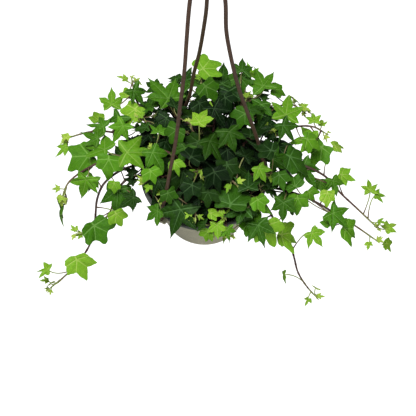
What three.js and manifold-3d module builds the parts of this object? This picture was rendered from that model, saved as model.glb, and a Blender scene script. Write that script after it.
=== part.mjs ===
// A trailing ivy in a round hanging pot, with the pot's one-piece hanger of three strands.
// Millimetres, +Z up. The origin is the spot inside the hook that bears on whatever holds it up.
// Everything else is given from the centre of the pot's rim, which hangs HANG_DROP below.

import * as THREE from 'three';
import { mergeVertices } from 'three/addons/utils/BufferGeometryUtils.js';
import Module from 'manifold-3d';

const wasm = await Module();
wasm.setup();

// Pot
const HANG_DROP = 410;
const RIM_RADIUS = 76;
const RIM_DEPTH = 5;
const RIM_ROUND = 0.8;
const RIM_HOLLOW = 1.2;
const NECK_RADIUS = 72.6;
const BASE_RADIUS = 51;
const BASE_ROUND = 8;
const POT_HEIGHT = 98;
const WALL = 1.6;
const FOOT_RECESS = 1.5;
const FOOT_INNER_RADIUS = 37;
const FOOT_SLOPE = 1.5;
const POT_SEGMENTS = 28;
const DRAIN_HOLES = 6;
const DRAIN_RADIUS = 4;
const DRAIN_RING = 26;
const DRAIN_START = 30;

// Lugs on the rim, each with a slot that a strand's foot passes down through
const LUG_BEARINGS = [351, 111, 231];
const LUG_WIDTH = 15;
const LUG_REACH = 8;
const LUG_THICKNESS = 2.4;
const LUG_OVERLAP = 1;
const LUG_SLOT_RADIUS = 2.5;
const FOOT_RADIUS = 79.8;

// Hanger
const STRAND_RADIUS = 1.8;
const BARB_RADIUS = 3.4;
const BARB_LENGTH = 6;
const BARB_TIP_RADIUS = 1.26;
const FOOT_LENGTH = 11;
const HUB_RADIUS = 17;
const HUB_THICKNESS = 4;
const HUB_BEVEL = 2;
const HUB_BOSS_RADIUS = 5;
const HUB_NECK_RADIUS = 3.4;
const HUB_NECK_HEIGHT = 9;
const HUB_HEIGHT = 368;
const HOOK_INNER_RADIUS = 9;
const HOOK_WIRE_RADIUS = 2.4;
const HOOK_START = -48;
const HOOK_END = 205;
const HOOK_STEP = 23;

// Soil
const SOIL_TOP = -12;
const SOIL_LUMP = 2.2;
const SOIL_SEGMENTS = 24;
const CLEARANCE = 0.3;
const HOLE_MARGIN = 0.72;
const LEAFLESS_HEIGHT = 14;

// Ivy
const STEM_SIDES = 3;
const STEM_RADIUS = 1.6;
const STEM_TIP_RADIUS = 1;
const STEM_STEP = 27;
const ROOT_DEPTH = 14.4;
const PETIOLE_RADIUS = 0.75;
const PETIOLE_SHORTEST = 6;
const PETIOLE_LONGEST = 75;
const PETIOLE_CHOICES = 14;
const BLADE_THIN = 0.7;
const BLADE_THICK = 0.9;
const NODE_SPACING = 9;
const TRAIL_LEAF_SPACING = 24;
const TRAIL_LEAF_LARGEST = 33;
const TRAIL_LEAF_SMALLEST = 13;
const LEAF_GAP = 0.35;
const TRIES = 30;
const MOUND_TOP = 80;
const MOUND_FALL = 0.0036;
const MOUND_LEAVES = 146;
const MOUND_SPACING = 8.4;
const SKIRT_LEAVES = 22;
const SKIRT_RADIUS = 84;
const SET_ROLL = 12;
const MOUND_ROLL = 26;
const TRAIL_ROLL = 28;
const GOLDEN_ANGLE = 137.5;

// The part of the rim, between two bearings and out from a radius, that only leaves with places of their
// own stand over
const OPEN_FRONT = [180, 300];
const OPEN_RADIUS = 56;
const OPEN_REACH = 112;

// The trailing stems whose leaves all have places of their own, apart from the one at the tip
const SET_TRAILS = [0, 1, 5, 6, 7];

// Where a stalk ends inside its blade, as shares of the reach of the notch and of a base lobe, and how
// deep it ends there as a share of the blade's thickness
const STALK_TO_NOTCH = 0.45;
const STALK_TO_LOBE = 0.14;
const STALK_DEPTH = 0.55;

// First numbers of the repeatable draws
const SET_SEED = 1000;
const TRAIL_SEED = 5000;
const SEEDS_PER_STEM = 64;
const MOUND_SEED = 9000;
const MOUND_LEAF_SEED = 9500;
const SKIRT_SEED = 12000;
const SKIRT_LEAF_SEED = 12500;

const UP = new THREE.Vector3(0, 0, 1);
const radians = THREE.MathUtils.degToRad;
const lerp = THREE.MathUtils.lerp;
const vector = (x, y, z) => new THREE.Vector3(x, y, z);

// A point at a bearing round the pot's axis, 0 along +X and 90 along +Y.
function polar(bearing, radius, z) {
  const angle = radians(bearing);
  return vector(radius * Math.cos(angle), radius * Math.sin(angle), z);
}

// A repeatable run of draws between two limits, started by a whole number.
function draws(seed) {
  let state = seed >>> 0;
  return (low, high) => {
    state = (state + 0x6d2b79f5) >>> 0;
    let mixed = Math.imul(state ^ (state >>> 15), state | 1);
    mixed ^= mixed + Math.imul(mixed ^ (mixed >>> 7), mixed | 61);
    return low + (high - low) * (((mixed ^ (mixed >>> 14)) >>> 0) / 4294967296);
  };
}

// A closed mesh as a solid that can be joined and cut.
function solid(shape) {
  const bare = shape.clone();
  bare.deleteAttribute('normal');
  bare.deleteAttribute('uv');
  const merged = mergeVertices(bare, 1e-4);
  const triangles = [];
  for (let i = 0; i < merged.index.count; i += 3) {
    const [a, b, c] = [0, 1, 2].map((k) => merged.index.getX(i + k));
    if (a !== b && b !== c && c !== a) triangles.push(a, b, c);
  }
  return new wasm.Manifold(new wasm.Mesh({
    numProp: 3,
    vertProperties: new Float32Array(merged.attributes.position.array),
    triVerts: new Uint32Array(triangles),
  }));
}

function joined(parts) {
  return parts.reduce((whole, part) => whole.add(part));
}

// A solid as a named mesh.
function piece(name, body, material) {
  const cut = body.getMesh();
  const shape = new THREE.BufferGeometry();
  shape.setAttribute('position', new THREE.BufferAttribute(new Float32Array(cut.vertProperties), 3));
  shape.setIndex(new THREE.BufferAttribute(new Uint32Array(cut.triVerts), 1));
  shape.computeVertexNormals();
  const mesh = new THREE.Mesh(shape, material);
  mesh.name = name;
  return mesh;
}

// A tube with flat ends along a curve, narrowing evenly from its first radius to its last.
function tube(curve, sides, steps, radius, endRadius = radius) {
  const section = new THREE.Shape();
  for (let i = 0; i < sides; i += 1) {
    const angle = (i / sides) * 2 * Math.PI;
    const corner = [radius * Math.cos(angle), radius * Math.sin(angle)];
    if (i === 0) section.moveTo(...corner);
    else section.lineTo(...corner);
  }
  const shape = new THREE.ExtrudeGeometry(section, { steps, extrudePath: curve });
  if (endRadius === radius) return shape;
  const centres = curve.getSpacedPoints(steps);
  const position = shape.attributes.position;
  const point = new THREE.Vector3();
  for (let i = 0; i < position.count; i += 1) {
    point.fromBufferAttribute(position, i);
    let nearest = 0;
    centres.forEach((centre, k) => {
      if (centre.distanceTo(point) < centres[nearest].distanceTo(point)) nearest = k;
    });
    const share = lerp(1, endRadius / radius, nearest / steps);
    point.sub(centres[nearest]).multiplyScalar(share).add(centres[nearest]);
    position.setXYZ(i, point.x, point.y, point.z);
  }
  return shape;
}

// The pot's inner wall radius at a height.
function innerRadius(z) {
  const share = (z + POT_HEIGHT - BASE_ROUND) / (POT_HEIGHT - BASE_ROUND - RIM_DEPTH);
  return lerp(BASE_RADIUS, NECK_RADIUS, share) - WALL;
}

// The largest radius that stays clear of the pot's many-sided inner wall at a height.
function clearRadius(z) {
  return innerRadius(z) * Math.cos(Math.PI / POT_SEGMENTS) - CLEARANCE;
}

function makePot() {
  const floor = -POT_HEIGHT + FOOT_RECESS + WALL;
  const profile = [
    [0, -POT_HEIGHT + FOOT_RECESS],
    [FOOT_INNER_RADIUS, -POT_HEIGHT + FOOT_RECESS],
    [FOOT_INNER_RADIUS + FOOT_SLOPE, -POT_HEIGHT],
    [BASE_RADIUS - BASE_ROUND, -POT_HEIGHT],
  ];
  for (const angle of [30, 60, 90]) {
    profile.push([
      BASE_RADIUS - BASE_ROUND * (1 - Math.sin(radians(angle))),
      -POT_HEIGHT + BASE_ROUND * (1 - Math.cos(radians(angle))),
    ]);
  }
  profile.push(
    [NECK_RADIUS, -RIM_DEPTH],
    [RIM_RADIUS, -RIM_DEPTH],
    [RIM_RADIUS, -RIM_ROUND],
    [RIM_RADIUS - RIM_ROUND, 0],
    [NECK_RADIUS, 0],
    [innerRadius(-RIM_DEPTH), -RIM_HOLLOW],
    [innerRadius(-RIM_DEPTH), -RIM_DEPTH],
    [innerRadius(-POT_HEIGHT + BASE_ROUND), -POT_HEIGHT + BASE_ROUND],
    [BASE_RADIUS - BASE_ROUND * 0.75, floor],
    [0, floor],
  );
  let pot = solid(new THREE.LatheGeometry(profile.map(([r, z]) => new THREE.Vector2(r, z)), POT_SEGMENTS)
    .rotateX(Math.PI / 2));
  for (const bearing of LUG_BEARINGS) {
    const middle = polar(bearing, RIM_RADIUS + LUG_REACH / 2 - LUG_OVERLAP, -RIM_DEPTH / 2);
    const lug = new THREE.BoxGeometry(LUG_REACH, LUG_WIDTH, LUG_THICKNESS)
      .rotateZ(radians(bearing)).translate(middle.x, middle.y, middle.z);
    const foot = polar(bearing, FOOT_RADIUS, -RIM_DEPTH / 2);
    const slot = new THREE.CylinderGeometry(LUG_SLOT_RADIUS, LUG_SLOT_RADIUS, 3 * LUG_THICKNESS, 8)
      .rotateX(Math.PI / 2).translate(foot.x, foot.y, foot.z);
    pot = pot.add(solid(lug)).subtract(solid(slot));
  }
  for (let i = 0; i < DRAIN_HOLES; i += 1) {
    const middle = polar((i / DRAIN_HOLES) * 360 + DRAIN_START, DRAIN_RING, floor);
    const hole = new THREE.CylinderGeometry(DRAIN_RADIUS, DRAIN_RADIUS, 8 * WALL, 6)
      .rotateX(Math.PI / 2).translate(middle.x, middle.y, middle.z);
    pot = pot.subtract(solid(hole));
  }
  return pot;
}

// Potting mix with a lumpy top, and a plain hole round each stem.
function makeSoil(stemHoles) {
  const bottom = -POT_HEIGHT + FOOT_RECESS + WALL + CLEARANCE;
  const edge = clearRadius(SOIL_TOP);
  const profile = [
    [0, bottom],
    [BASE_RADIUS - BASE_ROUND * 0.75 - 4 * CLEARANCE, bottom],
    [clearRadius(-POT_HEIGHT + BASE_ROUND) - CLEARANCE, -POT_HEIGHT + BASE_ROUND + CLEARANCE],
    [edge, SOIL_TOP - 1],
  ];
  for (const share of [0.7, 0.36, 0]) profile.push([edge * share, SOIL_TOP]);
  const shape = new THREE.LatheGeometry(profile.map(([r, z]) => new THREE.Vector2(r, z)), SOIL_SEGMENTS)
    .rotateX(Math.PI / 2);
  const position = shape.attributes.position;
  for (let i = 0; i < position.count; i += 1) {
    if (position.getZ(i) > SOIL_TOP - 0.5) {
      const [x, y] = [position.getX(i), position.getY(i)];
      const lump = Math.sin(x * 0.21 + 1.3) * Math.cos(y * 0.17) + 0.6 * Math.sin(x * 0.09 - y * 0.31);
      position.setZ(i, SOIL_TOP + SOIL_LUMP * 0.6 * lump);
    }
  }
  return stemHoles.reduce((whole, hole) => whole.subtract(hole), solid(shape));
}

// The three strands bow inwards as they rise to the hub, and end below their lugs in barbs.
const STRAND_ROUTES = [
  [[66, -9, 48], [59, -8, 86], [46, -7, 140], [35, -6, 187], [26, -5, 240], [21, -4, 280],
    [19.5, -3, 322], [14, -2, HUB_HEIGHT]],
  [[-24, 63, 40], [-17, 55, 82], [-11.3, 46, 140], [-5.6, 37, 187], [-1, 28, 240], [2, 21, 285],
    [2.5, 17, 325], [2, 13, HUB_HEIGHT]],
  [[-42.5, -51, 50], [-39, -47, 75], [-31, -38, 129], [-25, -30, 187], [-19.8, -23, 240],
    [-17, -18, 285], [-14.3, -14, 325], [-10, -10, HUB_HEIGHT]],
];

function makeHanger() {
  const parts = [];
  STRAND_ROUTES.forEach((route, i) => {
    const bearing = LUG_BEARINGS[i];
    const points = [polar(bearing, FOOT_RADIUS, 4), ...route.map((point) => vector(...point))];
    parts.push(solid(tube(new THREE.CatmullRomCurve3(points), 6, 12, STRAND_RADIUS)));
    const barbTop = -RIM_DEPTH / 2 - LUG_THICKNESS / 2 - CLEARANCE;
    const barb = polar(bearing, FOOT_RADIUS, barbTop - BARB_LENGTH / 2);
    parts.push(solid(new THREE.CylinderGeometry(BARB_RADIUS, BARB_TIP_RADIUS, BARB_LENGTH, 6)
      .rotateX(Math.PI / 2).translate(barb.x, barb.y, barb.z)));
    const foot = polar(bearing, FOOT_RADIUS, 0);
    parts.push(solid(new THREE.CylinderGeometry(STRAND_RADIUS, STRAND_RADIUS, FOOT_LENGTH, 6)
      .rotateX(Math.PI / 2).translate(foot.x, foot.y, foot.z)));
  });
  const hub = [[0, -HUB_THICKNESS / 2], [HUB_RADIUS, -HUB_THICKNESS / 2], [HUB_RADIUS, 0.5],
    [HUB_RADIUS - HUB_BEVEL, HUB_THICKNESS / 2], [HUB_BOSS_RADIUS, HUB_THICKNESS / 2 + 1],
    [HUB_NECK_RADIUS, HUB_NECK_HEIGHT], [0, HUB_NECK_HEIGHT]];
  parts.push(solid(new THREE.LatheGeometry(hub.map(([r, z]) => new THREE.Vector2(r, z)), 16)
    .rotateX(Math.PI / 2).translate(0, 0, HUB_HEIGHT)));
  const bend = HOOK_INNER_RADIUS + HOOK_WIRE_RADIUS;
  const middle = HANG_DROP - HOOK_INNER_RADIUS;
  const hook = [vector(0, 0, HUB_HEIGHT), vector(0, 0, HUB_HEIGHT + 8), vector(2, 0, middle - 1.62 * bend)];
  for (let angle = HOOK_START; angle <= HOOK_END; angle += HOOK_STEP) {
    hook.push(vector(bend * Math.cos(radians(angle)), 0, middle + bend * Math.sin(radians(angle))));
  }
  parts.push(solid(tube(new THREE.CatmullRomCurve3(hook), 6, 16, HOOK_WIRE_RADIUS)));
  return joined(parts);
}

// Stems that rise from the soil and arch outwards into the mound over the pot. Each row is the bearing
// and radius where the stem is rooted, its height and radius at the shoulder, and where its tip comes to.
const ARCHES = [
  [10, 10, 52, 16, 24, 30, 62], [130, 11, 54, 16, 120, 34, 64], [250, 10, 48, 18, 262, 34, 54],
  [70, 22, 50, 30, 76, 58, 60], [185, 24, 46, 32, 178, 60, 50], [305, 24, 42, 32, 310, 58, 46],
  [25, 38, 36, 50, 22, 84, 42], [52, 36, 40, 50, 55, 92, 46], [92, 38, 42, 54, 92, 104, 50],
  [122, 38, 40, 52, 124, 96, 48], [150, 36, 38, 50, 148, 92, 44], [208, 38, 34, 48, 206, 78, 34],
  [232, 40, 28, 50, 226, 70, 28], [258, 40, 24, 50, 262, 74, 22], [284, 40, 24, 50, 288, 74, 22],
  [312, 40, 26, 52, 318, 84, 24], [338, 38, 32, 50, 340, 88, 34],
  [75, 58, 22, 72, 74, 106, 22], [105, 58, 22, 72, 108, 104, 18],
];

// Stems that trail over the rim. Each is a list of points from the soil to the growing tip.
const TRAILS = [
  [[-58, -3], [-74, -1, 17], [-97, -11, 23], [-117, -22, 12], [-126, -34, -4], [-129, -46, -22],
    [-132, -56, -42], [-138, -66, -60], [-150, -78, -76], [-166, -90, -90], [-190, -104, -106]],
  [[-54, -14], [-70, -13, 12], [-88, -18, 17], [-100, -26, 8], [-106, -36, -4], [-112, -46, -17],
    [-124, -54, -28], [-140, -60, -37], [-153, -62, -41]],
  [[-58, 12], [-75, 14, 12], [-106, 2, 30], [-138, -10, 24], [-160, -20, 8], [-168, -30, -8]],
  [[-58, 22], [-76, 28, 16], [-104, 38, 26], [-134, 44, 20], [-167, 43, 6]],
  [[-50, 38], [-64, 54, 18], [-80, 78, 30], [-86, 100, 31], [-89, 118, 22]],
  [[60, -8], [80, -5, 18], [110, -6, 27], [140, -13, 14], [160, -26, -4], [180, -36, -22], [208, -50, -48]],
  [[56, -24], [76, -29, 14], [104, -38, 17], [130, -43, 4], [152, -47, -14], [178, -52, -36],
    [208, -60, -62]],
  [[48, -37], [63, -42, 13], [76, -56, 4], [85, -64, -20], [102, -75, -46], [108, -80, -68],
    [114, -88, -92], [126, -97, -114], [139, -104, -131]],
  [[58, 20], [76, 30, 22], [104, 42, 32], [128, 48, 25], [146, 49, 8]],
  [[48, 38], [62, 54, 20], [84, 71, 30], [104, 80, 24], [119, 82, 8]],
  [[26, 57], [32, 74, 12], [38, 92, 4], [42, 100, -26], [46, 104, -64], [44, 108, -104]],
  [[-30, 55], [-38, 72, 12], [-48, 88, 2], [-54, 96, -30], [-60, 104, -66], [-70, 108, -96]],
  [[-2, 60], [-4, 78, 12], [-4, 98, 8], [-2, 112, -16], [4, 116, -44]],
  [[8, -60], [9, -73, 8], [11, -85, 3]],
  [[22, -58], [24, -72, 9], [28, -86, 4]],
];

// Whether a leaf at a point would stand over the open part of the rim.
function hidesPot(at, farthest = Infinity) {
  const bearing = (THREE.MathUtils.radToDeg(Math.atan2(at.y, at.x)) + 360) % 360;
  const radius = Math.hypot(at.x, at.y);
  return bearing > OPEN_FRONT[0] && bearing < OPEN_FRONT[1] && radius > OPEN_RADIUS && radius < farthest;
}

// Leaves whose places, sizes and bearings are set one by one: the point where the stalk meets the blade,
// the length from there to the tip, the tip's bearing, how far it dips, and its age from 0 to 1.
const SET_LEAVES = [
  [-2, 106, 62, 36, 31, 2, 0.25], [21, 92, 50, 31, 85, -6, 0.85], [42, 98, 56, 27, 285, 30, 0.9],
  [56, 106, 48, 20, 102, 0, 0.35], [70, 88, 48, 33, 93, -4, 0.55], [84, 92, 38, 22, 350, 20, 0.75],
  [96, 55, 40, 34, 80, 8, 0.4], [1, 78, 66, 34, 318, 28, 0.6], [-42, 62, 64, 38, 128, -4, 0.45],
  [-34, 44, 74, 20, 57, 20, 0.85], [-60, 61, 50, 20, 141, 30, 0.6], [-17, 84, 58, 26, 112, 20, 0.8],
  [-6, 16, 84, 23, 68, 0, 0.1], [-52, 14, 68, 21, 89, 20, 0.4], [-32, 10, 74, 24, 222, 28, 0.55],
  [-22, -6, 68, 24, 255, 30, 0.6], [47, 40, 66, 28, 236, 28, 0.55], [-15, -23, 72, 28, 42, 12, 0.9],
  [74, -22, 86, 26, 160, 0, 0.85], [11, -38, 66, 30, 292, 30, 0.9], [49, -50, 52, 26, 88, 8, 0.8],
  [29, -66, 44, 36, 82, 0, 0.65], [-14, -50, 58, 24, 245, 35, 0.8], [4, -56, 54, 22, 274, 35, 0.75],
  [11, 43, 72, 26, 305, 25, 0.9], [24, 62, 66, 24, 300, 28, 0.9], [-6, 50, 70, 26, 293, 26, 0.85],
  [28, 9, 76, 26, 291, 25, 0.6], [-44, 38, 66, 24, 230, 28, 0.85], [-89, -4, 52, 37, 6, 4, 0.3],
  [-59, -10, 62, 27, 307, 28, 0.5], [-61, -30, 52, 22, 289, 32, 0.35], [-52, -37, 48, 22, 256, 35, 0.85],
  [-33, -26, 66, 18, 290, 28, 0.25], [-27, -66, 30, 38, 272, 42, 0.8], [-53, -66, 26, 20, 205, 28, 0.5],
  [7, -74, 40, 17, 15, 15, 0.15], [44, -68, 34, 28, 186, 24, 0.85], [-41, -56, 40, 20, 268, 38, 0.6],
  [14, -84, 26, 18, 276, 42, 0.2], [4, -86, 14, 18, 250, 46, 0.3], [26, -86, 20, 18, 286, 50, 0.4],
  [61, -33, 56, 20, 288, 28, 0.3], [60, -58, 38, 22, 305, 36, 0.35], [85, -29, 44, 24, 292, 28, 0.7],
  [104, -37, 32, 26, 123, 10, 0.85], [98, -6, 44, 38, 331, 30, 0.85], [90, -56, 28, 24, 266, 38, 0.8],
  [107, -47, 22, 26, 273, 38, 0.6], [121, -36, 16, 18, 310, 36, 0.6], [71, -77, 14, 36, 308, 46, 0.25],
  [90, -72, -26, 36, 344, 28, 0.25], [126, -70, -22, 22, 318, 30, 0.4], [97, -94, -86, 15, 190, 68, 0.35],
  [150, -18, 4, 20, 293, 28, 0.8], [143, -34, 8, 22, 262, 30, 0.15], [150, -52, -6, 30, 328, 26, 0.85],
  [166, -62, -34, 29, 350, 30, 0.6], [163, 0, -6, 22, 345, 18, 0.3], [199, -12, -24, 18, 95, 0, 0.3],
  [206, -16, -27, 15, 5, 16, 0.35], [128, 31, 24, 30, 176, 6, 0.5], [140, 28, 12, 30, 240, 28, 0.75],
  [156, 34, 4, 18, 15, 16, 0.2], [223, -52, -84, 18, 315, 34, 0.15], [-82, 66, 46, 33, 254, 30, 0.2],
  [-84, 84, 38, 24, 297, 28, 0.85], [-101, 55, 36, 24, 247, 26, 0.8], [-95, 36, 46, 26, 230, 28, 0.5],
  [-116, 10, 36, 32, 152, 14, 0.5], [-110, -7, 38, 33, 250, 34, 0.5], [-136, 10, 22, 42, 206, 14, 0.65],
  [-130, -18, 18, 18, 246, 44, 0.6], [-104, -30, 26, 17, 268, 42, 0.3], [-112, 84, 18, 26, 95, -2, 0.45],
  [-128, 64, 14, 20, 110, 0, 0.3], [-120, 46, 26, 24, 155, 10, 0.75], [-94, 92, 26, 18, 103, 0, 0.25],
  [-153, -85, -62, 35, 299, 32, 0.25], [-187, -97, -66, 18, 170, 16, 0.3],
  [-130, -61, -20, 37, 312, 34, 0.85], [-101, -30, 10, 36, 262, 34, 0.85],
  [-103, -55, -8, 24, 300, 34, 0.2], [-169, -33, -22, 34, 184, 76, 0.75],
  [-34, -48, 25, 26, 262, 34, 0.9], [-10, -57, 16, 24, 272, 36, 0.95], [0, -52, 14, 17, 280, 34, 0.9],
  [-48, -38, 26, 24, 240, 34, 0.8], [41, -44, 26, 22, 300, 34, 0.95], [11, -36, 38, 28, 272, 26, 1.0],
  [-19, -30, 46, 28, 258, 26, 0.95], [55, -21, 30, 20, 310, 30, 0.9], [48, -8, 46, 28, 320, 24, 1.0],
  [26, -3, 56, 28, 300, 22, 0.95], [-30, -14, 44, 20, 230, 26, 0.85], [-61, -22, 24, 22, 215, 34, 0.6],
  [44, 100, 60, 22, 84, -8, 0.95], [92, 38, 44, 28, 312, 26, 0.85], [115, -6, 24, 30, 318, 30, 0.85],
  [138, -10, 6, 24, 305, 30, 0.8], [60, -55, 24, 24, 290, 38, 0.5], [130, 54, 28, 15, 92, 0, 0.3],
  [219, -49, -50, 16, 30, 0, 0.25], [-125, 26, 34, 26, 150, 10, 0.6], [-166, 31, 6, 18, 215, 20, 0.3],
  [148, -58, -14, 20, 120, 10, 0.7],
];

// Height of the mound of leaves over the rim's plane: lower at the front, higher at the back.
function moundHeight(x, y) {
  return MOUND_TOP - MOUND_FALL * (x * x + y * y) - 0.35 * Math.max(0, -y - 20) + 0.2 * Math.max(0, y - 30);
}

function arch([bearing, radius, height, shoulder, endBearing, reach, endHeight]) {
  return [
    polar(bearing, radius, SOIL_TOP - ROOT_DEPTH),
    polar(bearing, radius, SOIL_TOP + 8),
    polar(bearing, lerp(radius, shoulder, 0.4), height * 0.62),
    polar(lerp(bearing, endBearing, 0.4), lerp(shoulder, reach, 0.25), height),
    polar(lerp(bearing, endBearing, 0.8), lerp(shoulder, reach, 0.7), lerp(height, endHeight, 0.5) + 3),
    polar(endBearing, reach, endHeight),
  ];
}

function trail([root, ...route]) {
  const below = vector(...root, SOIL_TOP - ROOT_DEPTH);
  const above = vector(...root, SOIL_TOP + 6);
  return [below, above, ...route.map((point) => vector(...point))];
}

// Outline of a leaf about the point where its stalk meets it: a middle lobe, two side lobes, two base
// lobes, and the dips between them. The angle is in degrees, and the reach a share of the middle lobe.
function leafForm(draw, age) {
  const side = draw(47, 56);
  const sideReach = draw(0.7, 0.86);
  const base = draw(106, 122);
  const baseReach = lerp(0.44, 0.54, age) + draw(-0.06, 0.06);
  const dip = draw(0.42, 0.5);
  const outline = [[0, 1], [side * 0.5, dip], [side, sideReach], [(side + base) / 2, sideReach * 0.56],
    [base, baseReach], [180, 0.13]];
  const left = outline.slice(1, 5).reverse().map(([angle, reach]) => [-angle, reach * draw(0.93, 1.07)]);
  const curl = draw(0.03, 0.16);
  const fold = draw(-0.06, 0.22);
  return [...outline, ...left].map(([angle, reach]) => ({
    angle: radians(angle),
    reach,
    lift: fold * reach * Math.abs(Math.sin(radians(angle))) - curl * reach * reach + draw(-0.03, 0.03),
  }));
}

// A blade lying along +X from its stalk, its upper side at height 0, grown on every side by a margin.
function bladeShape(form, size, thickness, margin) {
  const height = thickness + 2 * margin;
  const shape = new THREE.CylinderGeometry(1, 1, height, form.length, 1, false, Math.PI / 2)
    .rotateX(Math.PI / 2);
  const position = shape.attributes.position;
  for (let i = 0; i < position.count; i += 1) {
    const [x, y, z] = [position.getX(i), position.getY(i), position.getZ(i) - thickness / 2];
    if (Math.hypot(x, y) < 0.5) {
      position.setXYZ(i, 0, 0, z);
    } else {
      const index = Math.round((Math.atan2(y, x) / (2 * Math.PI)) * form.length + form.length);
      const { angle, reach, lift } = form[index % form.length];
      const radius = reach * size + margin;
      position.setXYZ(i, radius * Math.cos(angle), radius * Math.sin(angle), z + lift * size);
    }
  }
  return shape;
}

// Where a blade lies: its junction, then axes along its middle lobe, to its left and out of its face.
function pose(at, bearing, dip, roll) {
  const along = polar(bearing, Math.cos(radians(dip)), -Math.sin(radians(dip)));
  const out = UP.clone().addScaledVector(along, -along.dot(UP)).normalize();
  out.applyAxisAngle(along, radians(roll));
  const left = out.clone().cross(along);
  return { at, along, out, matrix: new THREE.Matrix4().makeBasis(along, left, out).setPosition(at) };
}

// The stalk leaves the stem sideways and meets the blade from behind and below.
function petioleCurve(from, blade, end) {
  const length = from.distanceTo(blade.at);
  const arrival = blade.along.clone().multiplyScalar(0.3).addScaledVector(blade.out, 0.95).normalize();
  const bend = end.clone().addScaledVector(arrival, -0.4 * length);
  return new THREE.QuadraticBezierCurve3(from, bend, end);
}

function makeBlade(form, size, age, blade, margin) {
  const thickness = lerp(BLADE_THIN, BLADE_THICK, age);
  return solid(bladeShape(form, size, thickness, margin).applyMatrix4(blade.matrix));
}

// The stalk ends inside the blade, between its notch and the base lobe on its left.
function petioleEnd(form, size, age, blade) {
  const base = form[4];
  const notch = form[5];
  const toNotch = STALK_TO_NOTCH * notch.reach;
  const toLobe = STALK_TO_LOBE * base.reach;
  const ahead = toNotch * Math.cos(notch.angle) + toLobe * Math.cos(base.angle);
  const aside = toLobe * Math.sin(base.angle);
  const lift = STALK_TO_NOTCH * notch.lift + STALK_TO_LOBE * base.lift;
  const depth = size * lift - STALK_DEPTH * lerp(BLADE_THIN, BLADE_THICK, age);
  return vector(size * ahead, size * aside, depth).applyMatrix4(blade.matrix);
}

function makePetiole(from, end, blade, margin) {
  const steps = from.distanceTo(end) > 15 ? 2 : 1;
  return solid(tube(petioleCurve(from, blade, end), 3, steps, PETIOLE_RADIUS + 2 * margin));
}

// Everything that has its place already, with the box that it fills and what it belongs to.
const placed = [];

function place(body, owner, kind) {
  placed.push({ body, owner, kind, box: body.boundingBox() });
}

function meets(room, skip) {
  const { min, max } = room.boundingBox();
  return placed.some((other) => {
    if (skip(other)) return false;
    for (let i = 0; i < 3; i += 1) {
      if (min[i] > other.box.max[i] || max[i] < other.box.min[i]) return false;
    }
    const common = room.intersect(other.body);
    const empty = common.isEmpty();
    common.delete();
    return !empty;
  });
}

// Adds a leaf to a vine if nothing stands where its blade and stalk would be. A stalk may start from any
// of the points given, and the first clear one is used.
function grow(starts, blade, form, size, age) {
  const bladeRoom = makeBlade(form, size, age, blade, LEAF_GAP);
  if (meets(bladeRoom, () => false)) return false;
  const end = petioleEnd(form, size, age, blade);
  for (const { vine, from } of starts) {
    const ownStem = (other) => other.owner === vine && other.kind === 'stem';
    const leaf = {
      blade: makeBlade(form, size, age, blade, 0),
      petiole: makePetiole(from, end, blade, 0),
    };
    const pieces = joined([vine.stem, leaf.petiole, leaf.blade]).decompose();
    if (pieces.length === 1 && !meets(makePetiole(from, end, blade, LEAF_GAP), ownStem)) {
      vine.leaves.push(leaf);
      vine.taken.add(from);
      place(leaf.blade, vine, 'blade');
      place(leaf.petiole, vine, 'petiole');
      return true;
    }
  }
  return false;
}

// The stems that could carry a leaf at a point, best first: the stalk rises to it, and is about as long
// as the leaf.
function startsFor(vines, at, size) {
  const starts = [];
  for (const vine of vines) {
    for (const from of vine.nodes) {
      const reach = at.clone().sub(from);
      const length = reach.length();
      if (!vine.taken.has(from) && length > PETIOLE_SHORTEST && length < PETIOLE_LONGEST) {
        starts.push({ vine, from, cost: Math.abs(length - 0.75 * size) + 0.5 * Math.max(0, 8 - reach.z) });
      }
    }
  }
  return starts.sort((a, b) => a.cost - b.cost).slice(0, PETIOLE_CHOICES);
}

// A leaf with a place of its own. Where the way is taken it shifts, turns, or tilts a little further.
function growSetLeaf(vines, row, seed, shifts, mostRoll) {
  const [x, y, z, size, bearing, dip, age] = row;
  const draw = draws(seed);
  const form = leafForm(draw, age);
  const roll = draw(-mostRoll, mostRoll);
  return shifts.some(([up, turn, tilt]) => {
    const at = vector(x, y, z + up);
    return grow(startsFor(vines, at, size), pose(at, bearing + turn, dip + tilt, roll), form, size, age);
  });
}

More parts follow.
